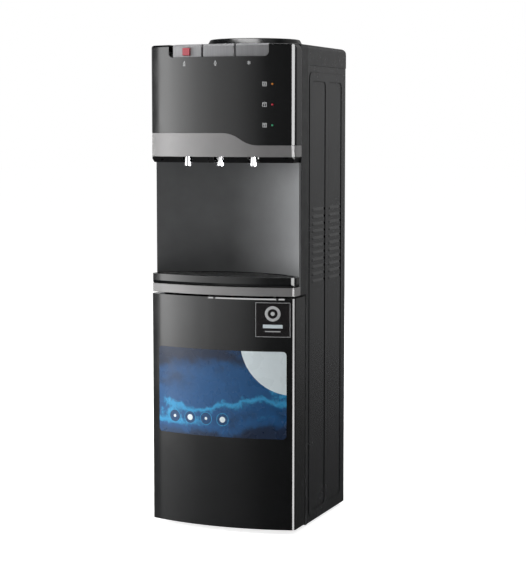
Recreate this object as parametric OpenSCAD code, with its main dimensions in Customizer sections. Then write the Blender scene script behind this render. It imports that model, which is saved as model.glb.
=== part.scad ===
// Free-standing water dispenser, top loading, with hot, normal and cold taps
// and a storage cabinet. Millimetres, +Z up, front towards -Y, and the origin
// on the floor under the middle of the whole body.

/* [Cabinet] */
// Width over the sides
cabinet_w = 310; // [300:1:326]
// How far the curved front bows out past its corners
front_bow = 25; // [20:1:30]
// How far the condenser stands out behind the sides
rear_reach = 25; // [24:1:32]
// Height of the rubber feet
foot_h = 6; // [5:1:12]
// Thickness of the sheet steel
sheet_t = 1; // [0.8:0.1:1.3]
// Wall of the moulded covers
wall = 2.5; // [2:0.1:3]
// Seam between covers that meet
seam = 0.3; // [0.2:0.1:0.5]

/* [Front shell] */
// How far the front covers run back along the sides
cover_side = 34; // [32:1:38]
// Depth of the columns behind the front covers
column_d = 36; // [34:1:40]
// Width of the columns, seen from the front
column_w = 22; // [20:1:26]
// Radius of the head's upright corners
head_corner_r = 12; // [10:1:18]
// Radius of the door's upright corners
door_corner_r = 8; // [5:1:12]
// Radius along the top edges of the sides
top_edge_r = 8; // [5:1:10]
// Radius along the head's top edges at its sides
head_edge_r = 11; // [8:1:12]
// Radius along the top edge of the head's front
front_edge_r = 4; // [3:0.5:4.5]
// Height of the head, down to the silver band's lower edge
head_h = 220; // [214:1:228]
// Height of the sloping underside of the head
lip_h = 11.5; // [9:0.5:14]
// How far the underside slopes in
lip_in = 6; // [4:0.5:8]

/* [Wave band] */
// Height of the silver band at its low end
band_low = 22.5; // [16:0.5:30]
// Height of the silver band at its high end
band_high = 46.5; // [40:0.5:56]
// Where the wave starts, from the middle
wave_x = 11; // [-20:1:30]
// Width of the wave
wave_w = 73; // [60:1:90]
// Thickness of the silver trims
trim_t = 1.2; // [1:0.1:1.5]

/* [Bay] */
// Clear height from the drip tray's rim to the head's underside
bay_h = 223.7; // [210:0.1:250]
// How far the bay's side edges lie behind the front corners
bay_setback = 24; // [20:1:28]
// Depth of the bay's hollow behind its side edges
bay_hollow = 68; // [60:1:72]

/* [Drip tray] */
// Height of the drip tray
tray_h = 19.5; // [18:0.5:24]
// Radius of the tray's upright corners
tray_corner_r = 13; // [12:1:20]
// Height of the bevel along the tray's lower edge
tray_bevel = 6; // [4:0.5:7]
// How far the bevel slopes in
tray_bevel_in = 4; // [2:0.5:5]
// Width of the rim around the grille
tray_rim = 9; // [7:0.5:12]
// Thickness of the grille
grille_t = 4; // [3:0.5:5]
// Distance from one grille slot to the next
slot_pitch = 7; // [6:0.5:9]
// Width of a grille slot
slot_w = 3.5; // [2.5:0.5:4.5]

/* [Silver strip] */
// Height of the silver strip
strip_h = 17; // [14:0.5:20]

/* [Door] */
// Height of the door
door_h = 461; // [450:1:466]
// Depth of the door at its sides
door_side = 58; // [55:1:60]
// Gap between the door's back and the cabinet
door_gap = 3.5; // [3:0.5:4]
// Gap under the door
door_foot_gap = 3; // [3:0.5:4]
// Gap over the door
door_top_gap = 4; // [4:0.5:5]
// Middle of the grip recess, from the middle of the door
grip_x = 57; // [40:1:64]
// Width of the grip recess
grip_w = 124; // [100:1:130]
// Depth of the grip recess
grip_h = 22; // [18:1:28]
// Diameter of the hinge pins
hinge_d = 5; // [4:0.5:6]

/* [Keys] */
// Width of one push key
key_w = 65; // [60:0.5:66]
// Gap between two keys
key_gap = 4; // [3:0.5:6]
// Height of the keys' faces
key_h = 25; // [23:0.5:28]
// How far the keys' faces lie behind the head's surface
key_inset = 3; // [2.8:0.1:3.5]
// Middle of the three keys, from the middle of the head
keys_x = 2; // [0:0.5:4]
// Open end of the notch beside the hot key
notch_end = 9; // [6:0.5:10]
// Width of the child lock button
lock_w = 16; // [12:0.5:18]
// Height of the child lock button
lock_h = 14.5; // [12:0.5:15]
// Diameter of the keys' hinge pin
key_pin_d = 4; // [3:0.5:5]

/* [Taps] */
// Distance from one tap to the next
tap_pitch = 70; // [66:1:70]
// Outer diameter of a tap nozzle
tap_d = 16; // [14:0.5:18]
// Bore of a tap nozzle
tap_bore = 10; // [8:0.5:11]
// How far the taps lie behind the middle of the front
tap_in = 20; // [18:1:24]
// How far the nozzles reach below the head
tap_drop = 6.5; // [4:0.5:12]
// Diameter of the push rods
rod_d = 5; // [4:0.5:6]

/* [Indicators] */
// Distance from one indicator to the next
lamp_pitch = 40.5; // [36:0.5:44]
// Height of the lowest indicator over the head's lower edge
lamp_low = 61; // [56:1:66]
// Distance of the indicators from the head's right edge
lamp_edge = 43; // [38:1:50]
// Diameter of an indicator lens
lamp_d = 5; // [4:0.5:6]

/* [Bottle seat] */
// Radius of the collar at its foot
collar_r = 98.5; // [94:0.5:99]
// Radius of the collar at its rim
collar_top_r = 93; // [88:0.5:93.5]
// Height of the collar over the flat top
collar_h = 16; // [12:1:22]
// Diameter of the bottle probe
probe_d = 24; // [20:1:28]

/* [Cold tank] */
// Radius of the cold tank
cold_r = 70; // [64:1:72]
// Height of the cold tank
cold_h = 148; // [140:1:150]
// Thickness of the foam jacket around the coil
foam_t = 24; // [18:1:25]
// Diameter of the evaporator tube
coil_d = 8; // [6:0.5:9]

// Room in front of the foam jacket
tank_front = 1.7; // [1:0.1:4]
// Room for the pipes behind the foam jacket
tank_rear = 21.7; // [19:0.1:30]

/* [Hot tank] */
// Radius of the hot tank
hot_r = 50; // [44:1:52]
// Height of the hot tank
hot_h = 160; // [140:1:164]
// Thickness of the hot tank's jacket
jacket_t = 12; // [10:1:14]

/* [Cooling unit] */
// Radius of the compressor
comp_r = 57; // [50:1:58]
// Height of the compressor's shell
comp_h = 150; // [130:1:155]
// Diameter of the condenser tube
cond_d = 5; // [4:0.5:6]
// Number of tube rows in the condenser
cond_rows = 11; // [8:1:12]
// Distance from one tube row to the next
cond_pitch = 48; // [40:1:50]

/* [Hidden] */
$fn = 64;
fine = 360;
eps = 0.01;

// The cold tank's jacket sets how deep the cabinet is
coil_gap = 0.2;
coil_low = 30;
coil_high = 46;
coil_r = cold_r + coil_d / 2 + coil_gap;
foam_r0 = cold_r + coil_d + coil_gap + 1.1;
foam_r1 = foam_r0 + foam_t;
side_d = cover_side + column_d + tank_front + 2 * foam_r1 + tank_rear;

// The plan: the front arc, the seams along the side, and the back
half_w = cabinet_w / 2;
lamp_x = half_w - lamp_edge;
y_apex = -(side_d + front_bow + rear_reach) / 2;
y_corner = y_apex + front_bow;
y_back = y_corner + side_d;
y_rear = y_back + rear_reach;
bow_r = (half_w * half_w + front_bow * front_bow) / (2 * front_bow);
y_bow = y_apex + bow_r;
y_cover = y_corner + cover_side;
y_column = y_cover + seam;
y_seam = y_cover + column_d;
y_door = y_corner + door_side;
y_jamb = y_door + door_gap;
side_in = half_w - 2 * sheet_t;

// The heights, from the floor up
z_base = foot_h;
z_door0 = z_base + door_foot_gap;
z_door1 = z_door0 + door_h;
z_strip0 = z_door1 + door_top_gap;
skirt_h = 40;
z_strip1 = z_strip0 + strip_h;
z_tray0 = z_strip1 + seam;
z_tray1 = z_tray0 + tray_h;
z_bay0 = z_tray1 + 2 * seam;
z_lip0 = z_tray1 + bay_h;
z_head0 = z_lip0 + lip_h;
z_top = z_head0 + head_h;
z_skirt = z_top - skirt_h;

// The bay: a round hollow between its two side edges
bay_half = half_w - 1;
y_bay_edge = y_corner + bay_setback;
bay_r = (bay_half * bay_half + bay_hollow * bay_hollow) / (2 * bay_hollow);
y_bay = y_bay_edge + bay_hollow - bay_r;
deck_t = 3;

// Keys, rods and valves
key_pitch = key_w + key_gap;
key_xs = [for (i = [-1:1]) keys_x + i * key_pitch];
tap_xs = [for (i = [-1:1]) i * tap_pitch];
y_tap = y_apex + tap_in;
z_key0 = z_top - key_h;
key_lap = 3;
key_t = 2.2;
key_depth = 26;
pin_back = 16;
y_key_back = y_corner + key_depth;
y_key_pin = y_key_back + pin_back;
pin_drop = 18;
z_key_pin = z_top - pin_drop;
notch_x0 = key_xs[0] - key_w / 2 - notch_end;
notch_x1 = key_xs[2] + key_w / 2 + 1.5;
notch_r = 9;
rod_y = y_tap + 5;
z_rod1 = z_key0 - key_lap - 1;
z_ceiling = z_lip0 + 3;
valve_rise = 20;
z_valve0 = z_ceiling + valve_rise;
valve_h = 38;
z_carrier = z_valve0 + valve_h;
carrier_t = 3;
rod_collar_h = 2;
spring_h = 14;
z_rod_collar = z_carrier + carrier_t + spring_h;
lock_x = key_xs[0];
lock_a = asin(lock_x / (bow_r - key_inset));
z_lock = z_key0 + key_lap + seam + lock_h / 2;
lamp_a = asin(lamp_x / bow_r);

// Bottle seat and the tanks under it
seat_y = y_seam + tank_front + foam_r1;
seat_flange = 5;
flange_r = collar_r + seat_flange;
skirt_in = 6;
collar_skirt_r = collar_top_r - skirt_in;
skirt_drop = 31;
z_funnel = z_top - skirt_drop;
funnel_gap = 15;
z_cold1 = z_funnel - funnel_gap;
z_cold0 = z_cold1 - cold_h;
foam_floor = 18;
z_foam0 = z_cold0 - foam_floor;
rack_t = 1.5;
z_rack_high = z_foam0 - rack_t;
rack_rise = 10;
z_rack_low = z_bay0 + rack_rise;
rack_y1 = y_back - 20;
hot_back = 25;
hot_y = seat_y + hot_back;
z_jacket0 = z_rack_low + rack_t;
z_hot0 = z_jacket0 + jacket_t;
band_t = 2;
band_h = 50;
port_rise = 14;
jacket_r0 = hot_r + band_t + 0.6;
jacket_r1 = jacket_r0 + jacket_t;
z_jacket1 = z_hot0 + hot_h + jacket_t + 0.2;

// Storage space and the cooling unit behind it
liner_half = half_w - 17;
liner_t = 2;
sill_h = 18;
z_liner0 = z_base + sill_h;
liner_rise = 190;
z_liner_step = z_base + liner_rise;
z_liner1 = z_strip0 - 12;
comp_y = y_back - 8 - comp_r;
liner_low_y = comp_y - comp_r - 8;
liner_high_y = y_back - 24;
comp_x = 22;
mount_h = 10;
bolt_x = comp_r + 5;
bolt_y = comp_r - 21;
z_comp = z_base + sheet_t + mount_h;
pan_h = 14;
pipe_d = 6;
pipe_back = 15;
pipe_y = y_back - pipe_back;
wire_d = 1.6;
y_cond = y_rear - wire_d - cond_d / 2;
cond_half = 112;
cond_rise = 140;
z_cond0 = z_liner_step + cond_rise;
back_rise = 50;
z_back0 = z_liner_step + back_rise;

// Edges of the pressed fields on a side panel, and its louvres
field_y0 = y_seam + 11;
field_y1 = y_back - 16;
field_z0 = z_base + 12;
field_z1 = z_skirt - 13;
field_r = 14;
field_step = 12;
inner_w = (field_y1 - field_y0 - 42) / 2;
inner_z0 = z_base + 24;
inner_z1 = field_z1 - 18;
louvre_pitch = 14.4;
louvre_rows = 11;
louvre_drop = 471;
louvre_z = z_top - louvre_drop;
flange_w = 15;

// Fittings on the back panel
z_switch = z_skirt - 34;
switch_xs = [-70, -35];
switch_w = 14;
switch_h = 23;
switch_tilt = 8;
knob_x = 30;
knob_r = 11;
spindle_r = 3;
gland_x = -90;
z_gland = z_back0 + 25;
gland_r = 6;
gland_l = 9;
drain_x = 70;
z_drain = z_back0 + 30;
spout_r = 7;
screw_r = 1.9;
screw_zs = [z_back0 + 30, (z_back0 + z_skirt) / 2, z_skirt - 30];

// Door, hinges and labels
hinge_side = 7;
hinge_back = 18.5;
pin_in = 10;
boss_r = 6;
boss_h = pin_in + 2;
hinge_x = -half_w + hinge_side;
hinge_y = y_door - hinge_back;
plate_t = 2;
z_hinge_top = z_door1 + 1;
column_t = 3;
trim_back = 1 + column_t;
door_in = 0.4;
door_wall = 3;
grip_y0 = 7;
grip_y1 = 23;
pad_gap = 4;
pad_w = 12;
label_t = 0.3;
label_gap = 0.1;
label_w = 275;
label_h = 174;
label_x = 1.5;
label_rise = 272;
z_label = z_base + label_rise;
sticker_w = 69;
sticker_h = 70;
sticker_edge = 42.5;
sticker_x = half_w - sticker_edge;
sticker_rise = 422;
z_sticker = z_base + sticker_rise;
shelf_rise = 104;
shelf_z = z_liner_step + shelf_rise;
shelf_t = 4;

// Small parts inside the head and around the tanks
board_gap = 8;
tray_floor = 2;
valve_half = 13;
valve_front = 9;
valve_back = 17;
barb_r = 4;
barb_z = z_valve0 + 10;
barb_l = 12;
ear_t = 2.4;
hose_d = 8;
hose_back = 24;
hose_turn = 20;
y_hose = y_cover + hose_back;
outlet_z = z_cold0 + 7;
cold_x = 25;
normal_x = -5;
hot_out_x = -28;
spigot = 6;
suction_x = -30;
capillary_x = -50;
z_suction = z_cold1 - 30;
z_capillary = z_cold0 + 20;
y_barb = y_tap + valve_back + barb_l + 0.1;

// ---- Shared shapes ----

// The bowed outline in plan, drawn in by inset and cut off straight at y1
module bow_plan(corner_r, inset, y1) {
    h = half_w - inset;
    rb = bow_r - inset;
    r = max(corner_r - inset, 0.6);
    yc = y_bow - sqrt(pow(rb - r, 2) - pow(h - r, 2));
    xt = (h - r) * rb / (rb - r);
    intersection() {
        translate([0, y_bow]) circle(r = rb, $fn = fine);
        translate([-xt, y_bow - rb - 1]) square([2 * xt, y1 - y_bow + rb + 1]);
    }
    for (s = [-1, 1]) translate([s * (h - r), yc]) circle(r = r);
    translate([-h, yc]) square([2 * h, y1 - yc]);
}

module bowed(corner_r, inset, y1, z0, z1) {
    translate([0, 0, z0]) linear_extrude(z1 - z0) bow_plan(corner_r, inset, y1);
}

// A flat shape in X and Z, run from y0 back to y1
module along_y(y0, y1) {
    translate([0, y1, 0]) rotate([90, 0, 0]) linear_extrude(y1 - y0) children();
}

// A flat shape in Y and Z, run from x0 to x1
module along_x(x0, x1) {
    translate([x0, 0, 0]) rotate([90, 0, 90]) linear_extrude(x1 - x0) children();
}

module span(x0, x1, y0, y1, z0, z1) {
    translate([x0, y0, z0]) cube([x1 - x0, y1 - y0, z1 - z0]);
}

module round_rect(x0, x1, y0, y1, r) {
    translate([x0 + r, y0]) square([x1 - x0 - 2 * r, y1 - y0]);
    translate([x0, y0 + r]) square([x1 - x0, y1 - y0 - 2 * r]);
    for (x = [x0 + r, x1 - r], y = [y0 + r, y1 - r]) translate([x, y]) circle(r = r);
}

// Front view of the upper body: straight sides and round top edges
module top_profile(edge_r, inset, z0) {
    r = edge_r - inset;
    h = half_w - inset;
    z1 = z_top - inset;
    translate([-h, z0]) square([2 * h, z1 - r - z0]);
    translate([-h + r, z0]) square([2 * (h - r), z1 - z0]);
    for (s = [-1, 1]) translate([s * (h - r), z1 - r]) circle(r = r);
}

// Moves a shape that is drawn at the front's middle round the front arc
module on_bow(angle) {
    translate([0, y_bow, 0]) rotate([0, 0, angle]) translate([0, -bow_r, 0]) children();
}

// Path helpers for hoses, pipes and springs
function unit(v) = v / norm(v);
function turned(u, t) = unit(u - (u * t) * t);
function heading(p, i) = let (n = len(p) - 1)
    unit(p[min(i + 1, n)] - p[max(i - 1, 0)]);
function sides_of(p, i, u) = i >= len(p) ? []
    : let (w = turned(u, heading(p, i))) concat([w], sides_of(p, i + 1, w));
function first_side(t) = abs(t[2]) < 0.9 ? [0, 0, 1] : [1, 0, 0];
function eased(p, r, n) = [
    p[0],
    for (i = [1:len(p) - 2])
        let (a = p[i] + r * unit(p[i - 1] - p[i]), b = p[i] + r * unit(p[i + 1] - p[i]))
        for (k = [0:n]) let (t = k / n) pow(1 - t, 2) * a + 2 * t * (1 - t) * p[i] + t * t * b,
    p[len(p) - 1]
];

module tube(p, d, sides = 8) {
    n = len(p);
    us = sides_of(p, 0, first_side(heading(p, 0)));
    points = [for (i = [0:n - 1]) let (u = us[i], v = cross(heading(p, i), u))
        for (k = [0:sides - 1]) let (a = 360 * k / sides)
            p[i] + d / 2 * (cos(a) * u + sin(a) * v)];
    walls = [for (i = [0:n - 2], k = [0:sides - 1]) let (k2 = (k + 1) % sides)
        [i * sides + k, (i + 1) * sides + k, (i + 1) * sides + k2, i * sides + k2]];
    ends = [[for (k = [0:sides - 1]) k],
        [for (k = [sides - 1:-1:0]) (n - 1) * sides + k]];
    polyhedron(points, concat(walls, ends), convexity = 8);
}

function helix(r, turns, h, steps) = [for (i = [0:turns * steps])
    [r * cos(360 * i / steps), r * sin(360 * i / steps), h * i / (turns * steps)]];

// ---- Cabinet ----

module base_pan() {
    color("#3a3c3e") {
        span(-side_in, side_in, y_seam + seam, y_back - 2 * sheet_t, z_base, z_base + sheet_t);
        span(-side_in, side_in, y_back - 3 * sheet_t, y_back - 2 * sheet_t, z_base, z_base + pan_h);
        for (s = [-1, 1]) span(s * (side_in - sheet_t / 2) - sheet_t / 2,
            s * (side_in - sheet_t / 2) + sheet_t / 2, y_seam + seam, y_back - 2 * sheet_t,
            z_base, z_base + pan_h);
    }
}

module feet() {
    color("#1c1c1c")
    for (x = [-half_w + 40, half_w - 40], y = [y_seam + 20, y_back - 40])
        translate([x, y, 0]) cylinder(r1 = 13, r2 = 15, h = foot_h);
}

module inner_fields(grow) {
    for (y = [field_y0 + field_step, field_y1 - field_step - inner_w])
        round_rect(y - grow, y + inner_w + grow, inner_z0 - grow, inner_z1 + grow, 10 + grow);
}

module side_panel() {
    x1 = half_w;
    x0 = x1 - sheet_t;
    ys = [field_y0 + field_step + inner_w / 2, field_y1 - field_step - inner_w / 2];
    reach = inner_w / 2 - 9;
    skin = sheet_t / 2;
    difference() {
        union() {
            span(x0 - sheet_t, x0, y_seam + seam, y_back, z_base, z_skirt - seam);
            along_x(x0, x1) difference() {
                round_rect(field_y0, field_y1, field_z0, field_z1, field_r);
                inner_fields(0);
            }
            for (y = ys, i = [0:louvre_rows - 1])
                translate([0, y, louvre_z + i * louvre_pitch]) rotate([90, 0, 0])
                    translate([0, 0, -reach]) linear_extrude(2 * reach)
                        polygon([[x0 - skin, 4], [x0, 4], [x1, -1.5], [x1, -3], [x0, 2],
                            [x0 - skin, 2]]);
            span(x0 - flange_w, x0, y_back - sheet_t, y_back, z_base, z_skirt - seam);
        }
        along_x(x0 - sheet_t - eps, x0) difference() {
            round_rect(field_y0 + sheet_t, field_y1 - sheet_t, field_z0 + sheet_t,
                field_z1 - sheet_t, field_r - sheet_t);
            inner_fields(sheet_t);
        }
        for (y = ys, i = [0:louvre_rows - 1]) span(x0 - sheet_t - eps, x0 + eps, y - reach + 1,
            y + reach - 1, louvre_z + i * louvre_pitch - 3, louvre_z + i * louvre_pitch + 2 - eps);
        back_screw_holes();
    }
}

module side_panel_left() { color("#3b3d3e") mirror([1, 0, 0]) side_panel(); }
module side_panel_right() { color("#3b3d3e") side_panel(); }

// The screws hold the back panel to the side flanges
module at_screws() {
    for (x = [-half_w + 10, half_w - 10], z = screw_zs)
        translate([x, y_back, z]) rotate([90, 0, 0]) children();
}

module back_screw_holes() {
    at_screws() translate([0, 0, -1]) cylinder(r = screw_r + 0.1, h = 6);
}

module screws() {
    color("#8e9193")
    at_screws() {
        translate([0, 0, -0.5]) cylinder(r = screw_r, h = 9.5);
        difference() {
            translate([0, 0, -2]) cylinder(r1 = 3, r2 = 4, h = 2);
            for (a = [0, 90]) rotate([0, 0, a]) translate([-0.5, -2, -3]) cube([1, 4, 1.8]);
        }
    }
}

module back_panel() {
    y1 = y_back - sheet_t;
    y0 = y1 - sheet_t;
    color("#2c2e2f")
    difference() {
        union() {
            span(-side_in + 0.2, side_in - 0.2, y0, y1, z_back0, z_skirt - seam);
            for (x = switch_xs) span(x - switch_w / 2 - 3, x + switch_w / 2 + 3, y1 - eps,
                y1 + 1.5, z_switch - switch_h / 2 - 3, z_switch + switch_h / 2 + 3);
            span(-side_in + flange_w + 1, side_in - flange_w - 1, y0 - 8, y0 + eps, z_back0,
                z_back0 + sheet_t);
        }
        for (x = switch_xs) span(x - switch_w / 2, x + switch_w / 2, y0 - 1, y1 + 2,
            z_switch - switch_h / 2, z_switch + switch_h / 2);
        for (row = [0:9], x = [-80:40:80]) span(x - 14, x + 14, y0 - 1, y1 + 1,
            z_skirt - 120 - row * 10, z_skirt - 116 - row * 10);
        translate([knob_x, y1 + 1, z_switch]) rotate([90, 0, 0]) cylinder(r = spindle_r + 0.4, h = 4);
        translate([gland_x, y1 + 1, z_gland]) rotate([90, 0, 0]) cylinder(r = gland_r + 0.2, h = 4);
        translate([drain_x, y1 + 1, z_drain]) rotate([90, 0, 0]) cylinder(r = spout_r + 0.2, h = 4);
        back_screw_holes();
    }
}

// Plan of the round hollow's wall, between two radii, with its side edges
module bay_plan(r0, r1) {
    difference() {
        intersection() {
            union() {
                translate([0, y_bay]) circle(r = r1, $fn = fine);
                for (x = [-bay_half, bay_half - 8])
                    translate([x, y_bay_edge]) square([8, y_cover - y_bay_edge]);
            }
            translate([-bay_half, y_bay_edge]) square([2 * bay_half, side_d]);
        }
        translate([0, y_bay]) circle(r = r0, $fn = fine);
    }
}

// Plan of a disc behind the bay's hollow, from y0 back
module bay_disc(r, y0) {
    intersection() {
        translate([0, y_bay]) circle(r = r, $fn = fine);
        translate([-half_w, y0]) square([cabinet_w, side_d]);
    }
}

module hinge_plate(z, grow) {
    span(hinge_x - 5 - grow, hinge_x + 7 + grow, hinge_y - 7, y_seam - 2 + grow,
        z - grow, z + plate_t + grow);
}

// The front frame carries the covers, the bay panel, the tray and the door
module front_frame() {
    apron_in = trim_back + seam;
    z_deck = z_strip1 - deck_t;
    color("#2a2b2c")
    difference() {
        union() {
            intersection() {
                union() {
                    for (x = [-half_w, half_w - column_t])
                        span(x, x + column_t, y_column, y_seam, z_strip0, z_top);
                    for (x = [-half_w, half_w - column_w])
                        span(x, x + column_w, y_seam - column_t, y_seam, z_strip0, z_top);
                    span(-half_w, half_w, y_column, y_seam, z_top - wall, z_top);
                }
                along_y(y_column, y_seam) top_profile(top_edge_r, 0, z_strip0);
            }
            for (x = [-half_w, half_w - column_w])
                span(x, x + column_w, y_jamb, y_seam, z_base, z_strip0);
            span(-half_w, half_w, y_jamb, y_seam, z_strip0 - column_w, z_strip0);
            span(-half_w, half_w, y_jamb, y_seam, z_base, z_liner0);
            difference() {
                bowed(door_corner_r, apron_in, y_seam, z_strip0, z_strip1);
                bowed(door_corner_r, apron_in + wall, y_seam + 1, z_strip0 - 1, z_deck);
            }
            span(-half_w, half_w, y_column, y_seam, z_deck, z_strip1);
            translate([0, 0, z_deck]) linear_extrude(deck_t)
                bay_disc(bay_r + 4.2, y_seam - 1);
        }
        for (z = [z_hinge_top, z_base]) hinge_plate(z, 0.1);
    }
}

// ---- Front covers ----

// Front view of the silver band: high on the left, low on the right
module wave_profile(grow) {
    drop = band_high - band_low;
    r = (pow(wave_w / 2, 2) + pow(drop / 2, 2)) / drop;
    low = z_head0 + band_low + grow;
    high = z_head0 + band_high + grow;
    mid = wave_x + wave_w / 2;
    translate([-half_w - 1, z_head0 - 1]) square([cabinet_w + 2, low - z_head0 + 1]);
    translate([-half_w - 1, z_head0 - 1]) square([half_w + 1 + wave_x, high - z_head0 + 1]);
    intersection() {
        translate([wave_x, high - r]) circle(r = r, $fn = fine);
        translate([wave_x - eps, low - eps]) square([wave_w / 2 + eps, drop + 1]);
    }
    difference() {
        translate([mid - eps, low - eps]) square([wave_w / 2, drop / 2 + eps]);
        translate([wave_x + wave_w, low + r]) circle(r = r, $fn = fine);
    }
}

// Front view of the notch for the keys
module notch_profile() {
    w = notch_x1 - notch_x0;
    translate([notch_x0, z_key0 + notch_r]) square([w, key_h]);
    translate([notch_x0 + notch_r, z_key0]) square([w - 2 * notch_r, key_h]);
    for (x = [notch_x0 + notch_r, notch_x1 - notch_r])
        translate([x, z_key0 + notch_r]) circle(r = notch_r);
}

module lamp_holes(r, depth) {
    for (i = [0:2]) on_bow(lamp_a) translate([0, -1, z_head0 + lamp_low + i * lamp_pitch])
        rotate([-90, 0, 0]) cylinder(r = r, h = depth + 1);
}

module head_cover() {
    color("#141516")
    difference() {
        union() {
            difference() {
                intersection() {
                    bowed(head_corner_r, 0, y_cover, z_head0, z_top);
                    along_y(y_apex - 1, y_cover) top_profile(head_edge_r, 0, z_head0);
                }
                intersection() {
                    bowed(head_corner_r, wall, y_cover + 1, z_head0 - 1, z_top - wall);
                    along_y(y_apex - 1, y_cover + 2) top_profile(head_edge_r, wall, z_head0 - 2);
                }
            }
            for (i = [0:1]) on_bow(lamp_a)
                translate([0, wall / 2, z_head0 + lamp_low + (i + 0.5) * lamp_pitch])
                    rotate([-90, 0, 0]) cylinder(r = 3, h = board_gap - wall / 2);
        }
        intersection() {
            along_y(y_apex - 1, y_cover + 1) wave_profile(seam);
            difference() {
                bowed(head_corner_r + 1, -1, y_cover + 1, z_head0 - 1, z_top);
                bowed(head_corner_r, trim_t + 0.1, y_cover + 2, z_head0 - 2, z_top + 1);
            }
        }
        translate([0, y_bow, z_top]) rotate_extrude($fn = fine) polygon([
            [bow_r - front_edge_r, eps], [bow_r + 1, eps], [bow_r + 1, -front_edge_r],
            for (t = [0:30:90]) [bow_r - front_edge_r * (1 - cos(t)), -front_edge_r * (1 - sin(t))]]);
        along_y(y_apex - 1, y_key_back + 2) notch_profile();
        lamp_holes(lamp_d / 2 + 0.15, wall + 2);
    }
}

module wave_band() {
    color("#a9a6a5")
    intersection() {
        along_y(y_apex - 1, y_cover) wave_profile(0);
        difference() {
            bowed(head_corner_r, 0, y_cover, z_head0, z_top);
            bowed(head_corner_r, trim_t, y_cover + 1, z_head0 - 1, z_top + 1);
        }
    }
}

// The bowed outline on a slope: a cone section in front and sloping sides
module sloped(corner_r, low_in, high_in, y1, z0, z1) {
    low = half_w - low_in;
    high = half_w - high_in;
    intersection() {
        translate([0, y_bow, z0])
            cylinder(r1 = bow_r - low_in, r2 = bow_r - high_in, h = z1 - z0, $fn = fine);
        along_y(y_apex, y1) polygon([[-low, z0], [low, z0], [high, z1], [-high, z1]]);
        bowed(corner_r, high_in, y1, z0, z1);
    }
}

module lip_shape(inset) {
    sloped(head_corner_r, lip_in + inset, seam + inset, y_cover, z_lip0, z_head0 - seam);
}

module tap_ceiling() {
    flange_in = wall + 2 * seam;
    lip_slot = 7;
    color("#1b1c1d")
    difference() {
        union() {
            difference() {
                lip_shape(0);
                translate([0, 0, z_ceiling - z_lip0]) lip_shape(wall);
            }
            translate([0, 0, z_lip0]) linear_extrude(z_ceiling - z_lip0)
                bay_disc(bay_r + wall, y_cover - 1);
            difference() {
                bowed(head_corner_r, flange_in, y_cover, z_head0 - 4, z_head0 + 10);
                bowed(head_corner_r, flange_in + 2, y_cover + 1, z_head0 - 5, z_head0 + 11);
            }
        }
        for (x = tap_xs) {
            translate([x, y_tap, z_lip0 - 1]) cylinder(r = tap_d / 2 + 0.4, h = lip_h + 2);
            span(x - tap_d / 2 - 0.4, x + tap_d / 2 + lip_slot, y_apex, y_tap, z_lip0 - 1, z_head0);
        }
    }
}

module bay_panel() {
    foot_gap = 1.2;
    color("#232526") {
        translate([0, 0, z_bay0]) linear_extrude(z_lip0 - z_bay0) bay_plan(bay_r, bay_r + wall);
        translate([0, 0, z_strip1]) linear_extrude(z_bay0 - z_strip1 + eps)
            bay_plan(bay_r + foot_gap, bay_r + wall);
    }
}

module silver_strip() {
    color("#8f8d8c")
    difference() {
        bowed(door_corner_r, 1, y_cover, z_strip0, z_strip1);
        bowed(door_corner_r, trim_back, y_cover + 1, z_strip0 - 1, z_strip1 + 1);
    }
}

module top_cover() {
    rear_r = 14;
    y0 = y_seam + seam;
    color("#3a3c3d") {
        difference() {
            intersection() {
                along_y(y0, y_back) top_profile(top_edge_r, 0, z_skirt);
                cover_side_view(y0, 0, rear_r);
            }
            intersection() {
                along_y(y0 - 1, y_back - wall) top_profile(top_edge_r, wall, z_skirt - 1);
                cover_side_view(y0 - 1, wall, rear_r);
            }
            translate([0, seat_y, z_top - wall - 1]) cylinder(r = collar_skirt_r + 1, h = 10);
        }
        translate([0, seat_y, z_top]) rotate_extrude($fn = 120) polygon([
            [collar_skirt_r + 1, -wall / 2], [flange_r - 8, -wall / 2], [flange_r - 8, 0],
            [flange_r, 0], [flange_r - 5, 2], [collar_skirt_r + 1, 2]]);
    }
}

// Side view of the top cover, with its rear edge rounded
module cover_side_view(y0, inset, r) {
    y1 = y_back - inset;
    z1 = z_top - inset;
    rr = r - inset;
    along_x(-half_w - 1, half_w + 1) {
        translate([y0, z_skirt - 2]) square([y1 - rr - y0, z1 - z_skirt + 2]);
        translate([y0, z_skirt - 2]) square([y1 - y0, z1 - rr - z_skirt + 2]);
        translate([y1 - rr, z1 - rr]) circle(r = rr);
    }
}

// ---- Bottle seat ----

module bottle_collar() {
    rim = collar_top_r - 5;
    skirt = collar_skirt_r - wall;
    foot = 2.3;
    floor_z = z_funnel - z_top;
    color("#1d1e1f")
    translate([0, seat_y, z_top]) rotate_extrude($fn = 120) polygon([
        [probe_d / 2 + 1.5, floor_z], [collar_skirt_r, floor_z], [collar_skirt_r, foot],
        [collar_r, foot], [collar_r, foot + 1.5], [collar_top_r, collar_h - 1.5],
        [collar_top_r - 1.5, collar_h], [rim + 1, collar_h], [rim, collar_h - 1],
        [rim - 1, foot + 2], [skirt, foot - 2], [skirt - 1, floor_z + wall + 2],
        [skirt - 4, floor_z + wall], [probe_d / 2 + 1.5, floor_z + wall]]);
}

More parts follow.
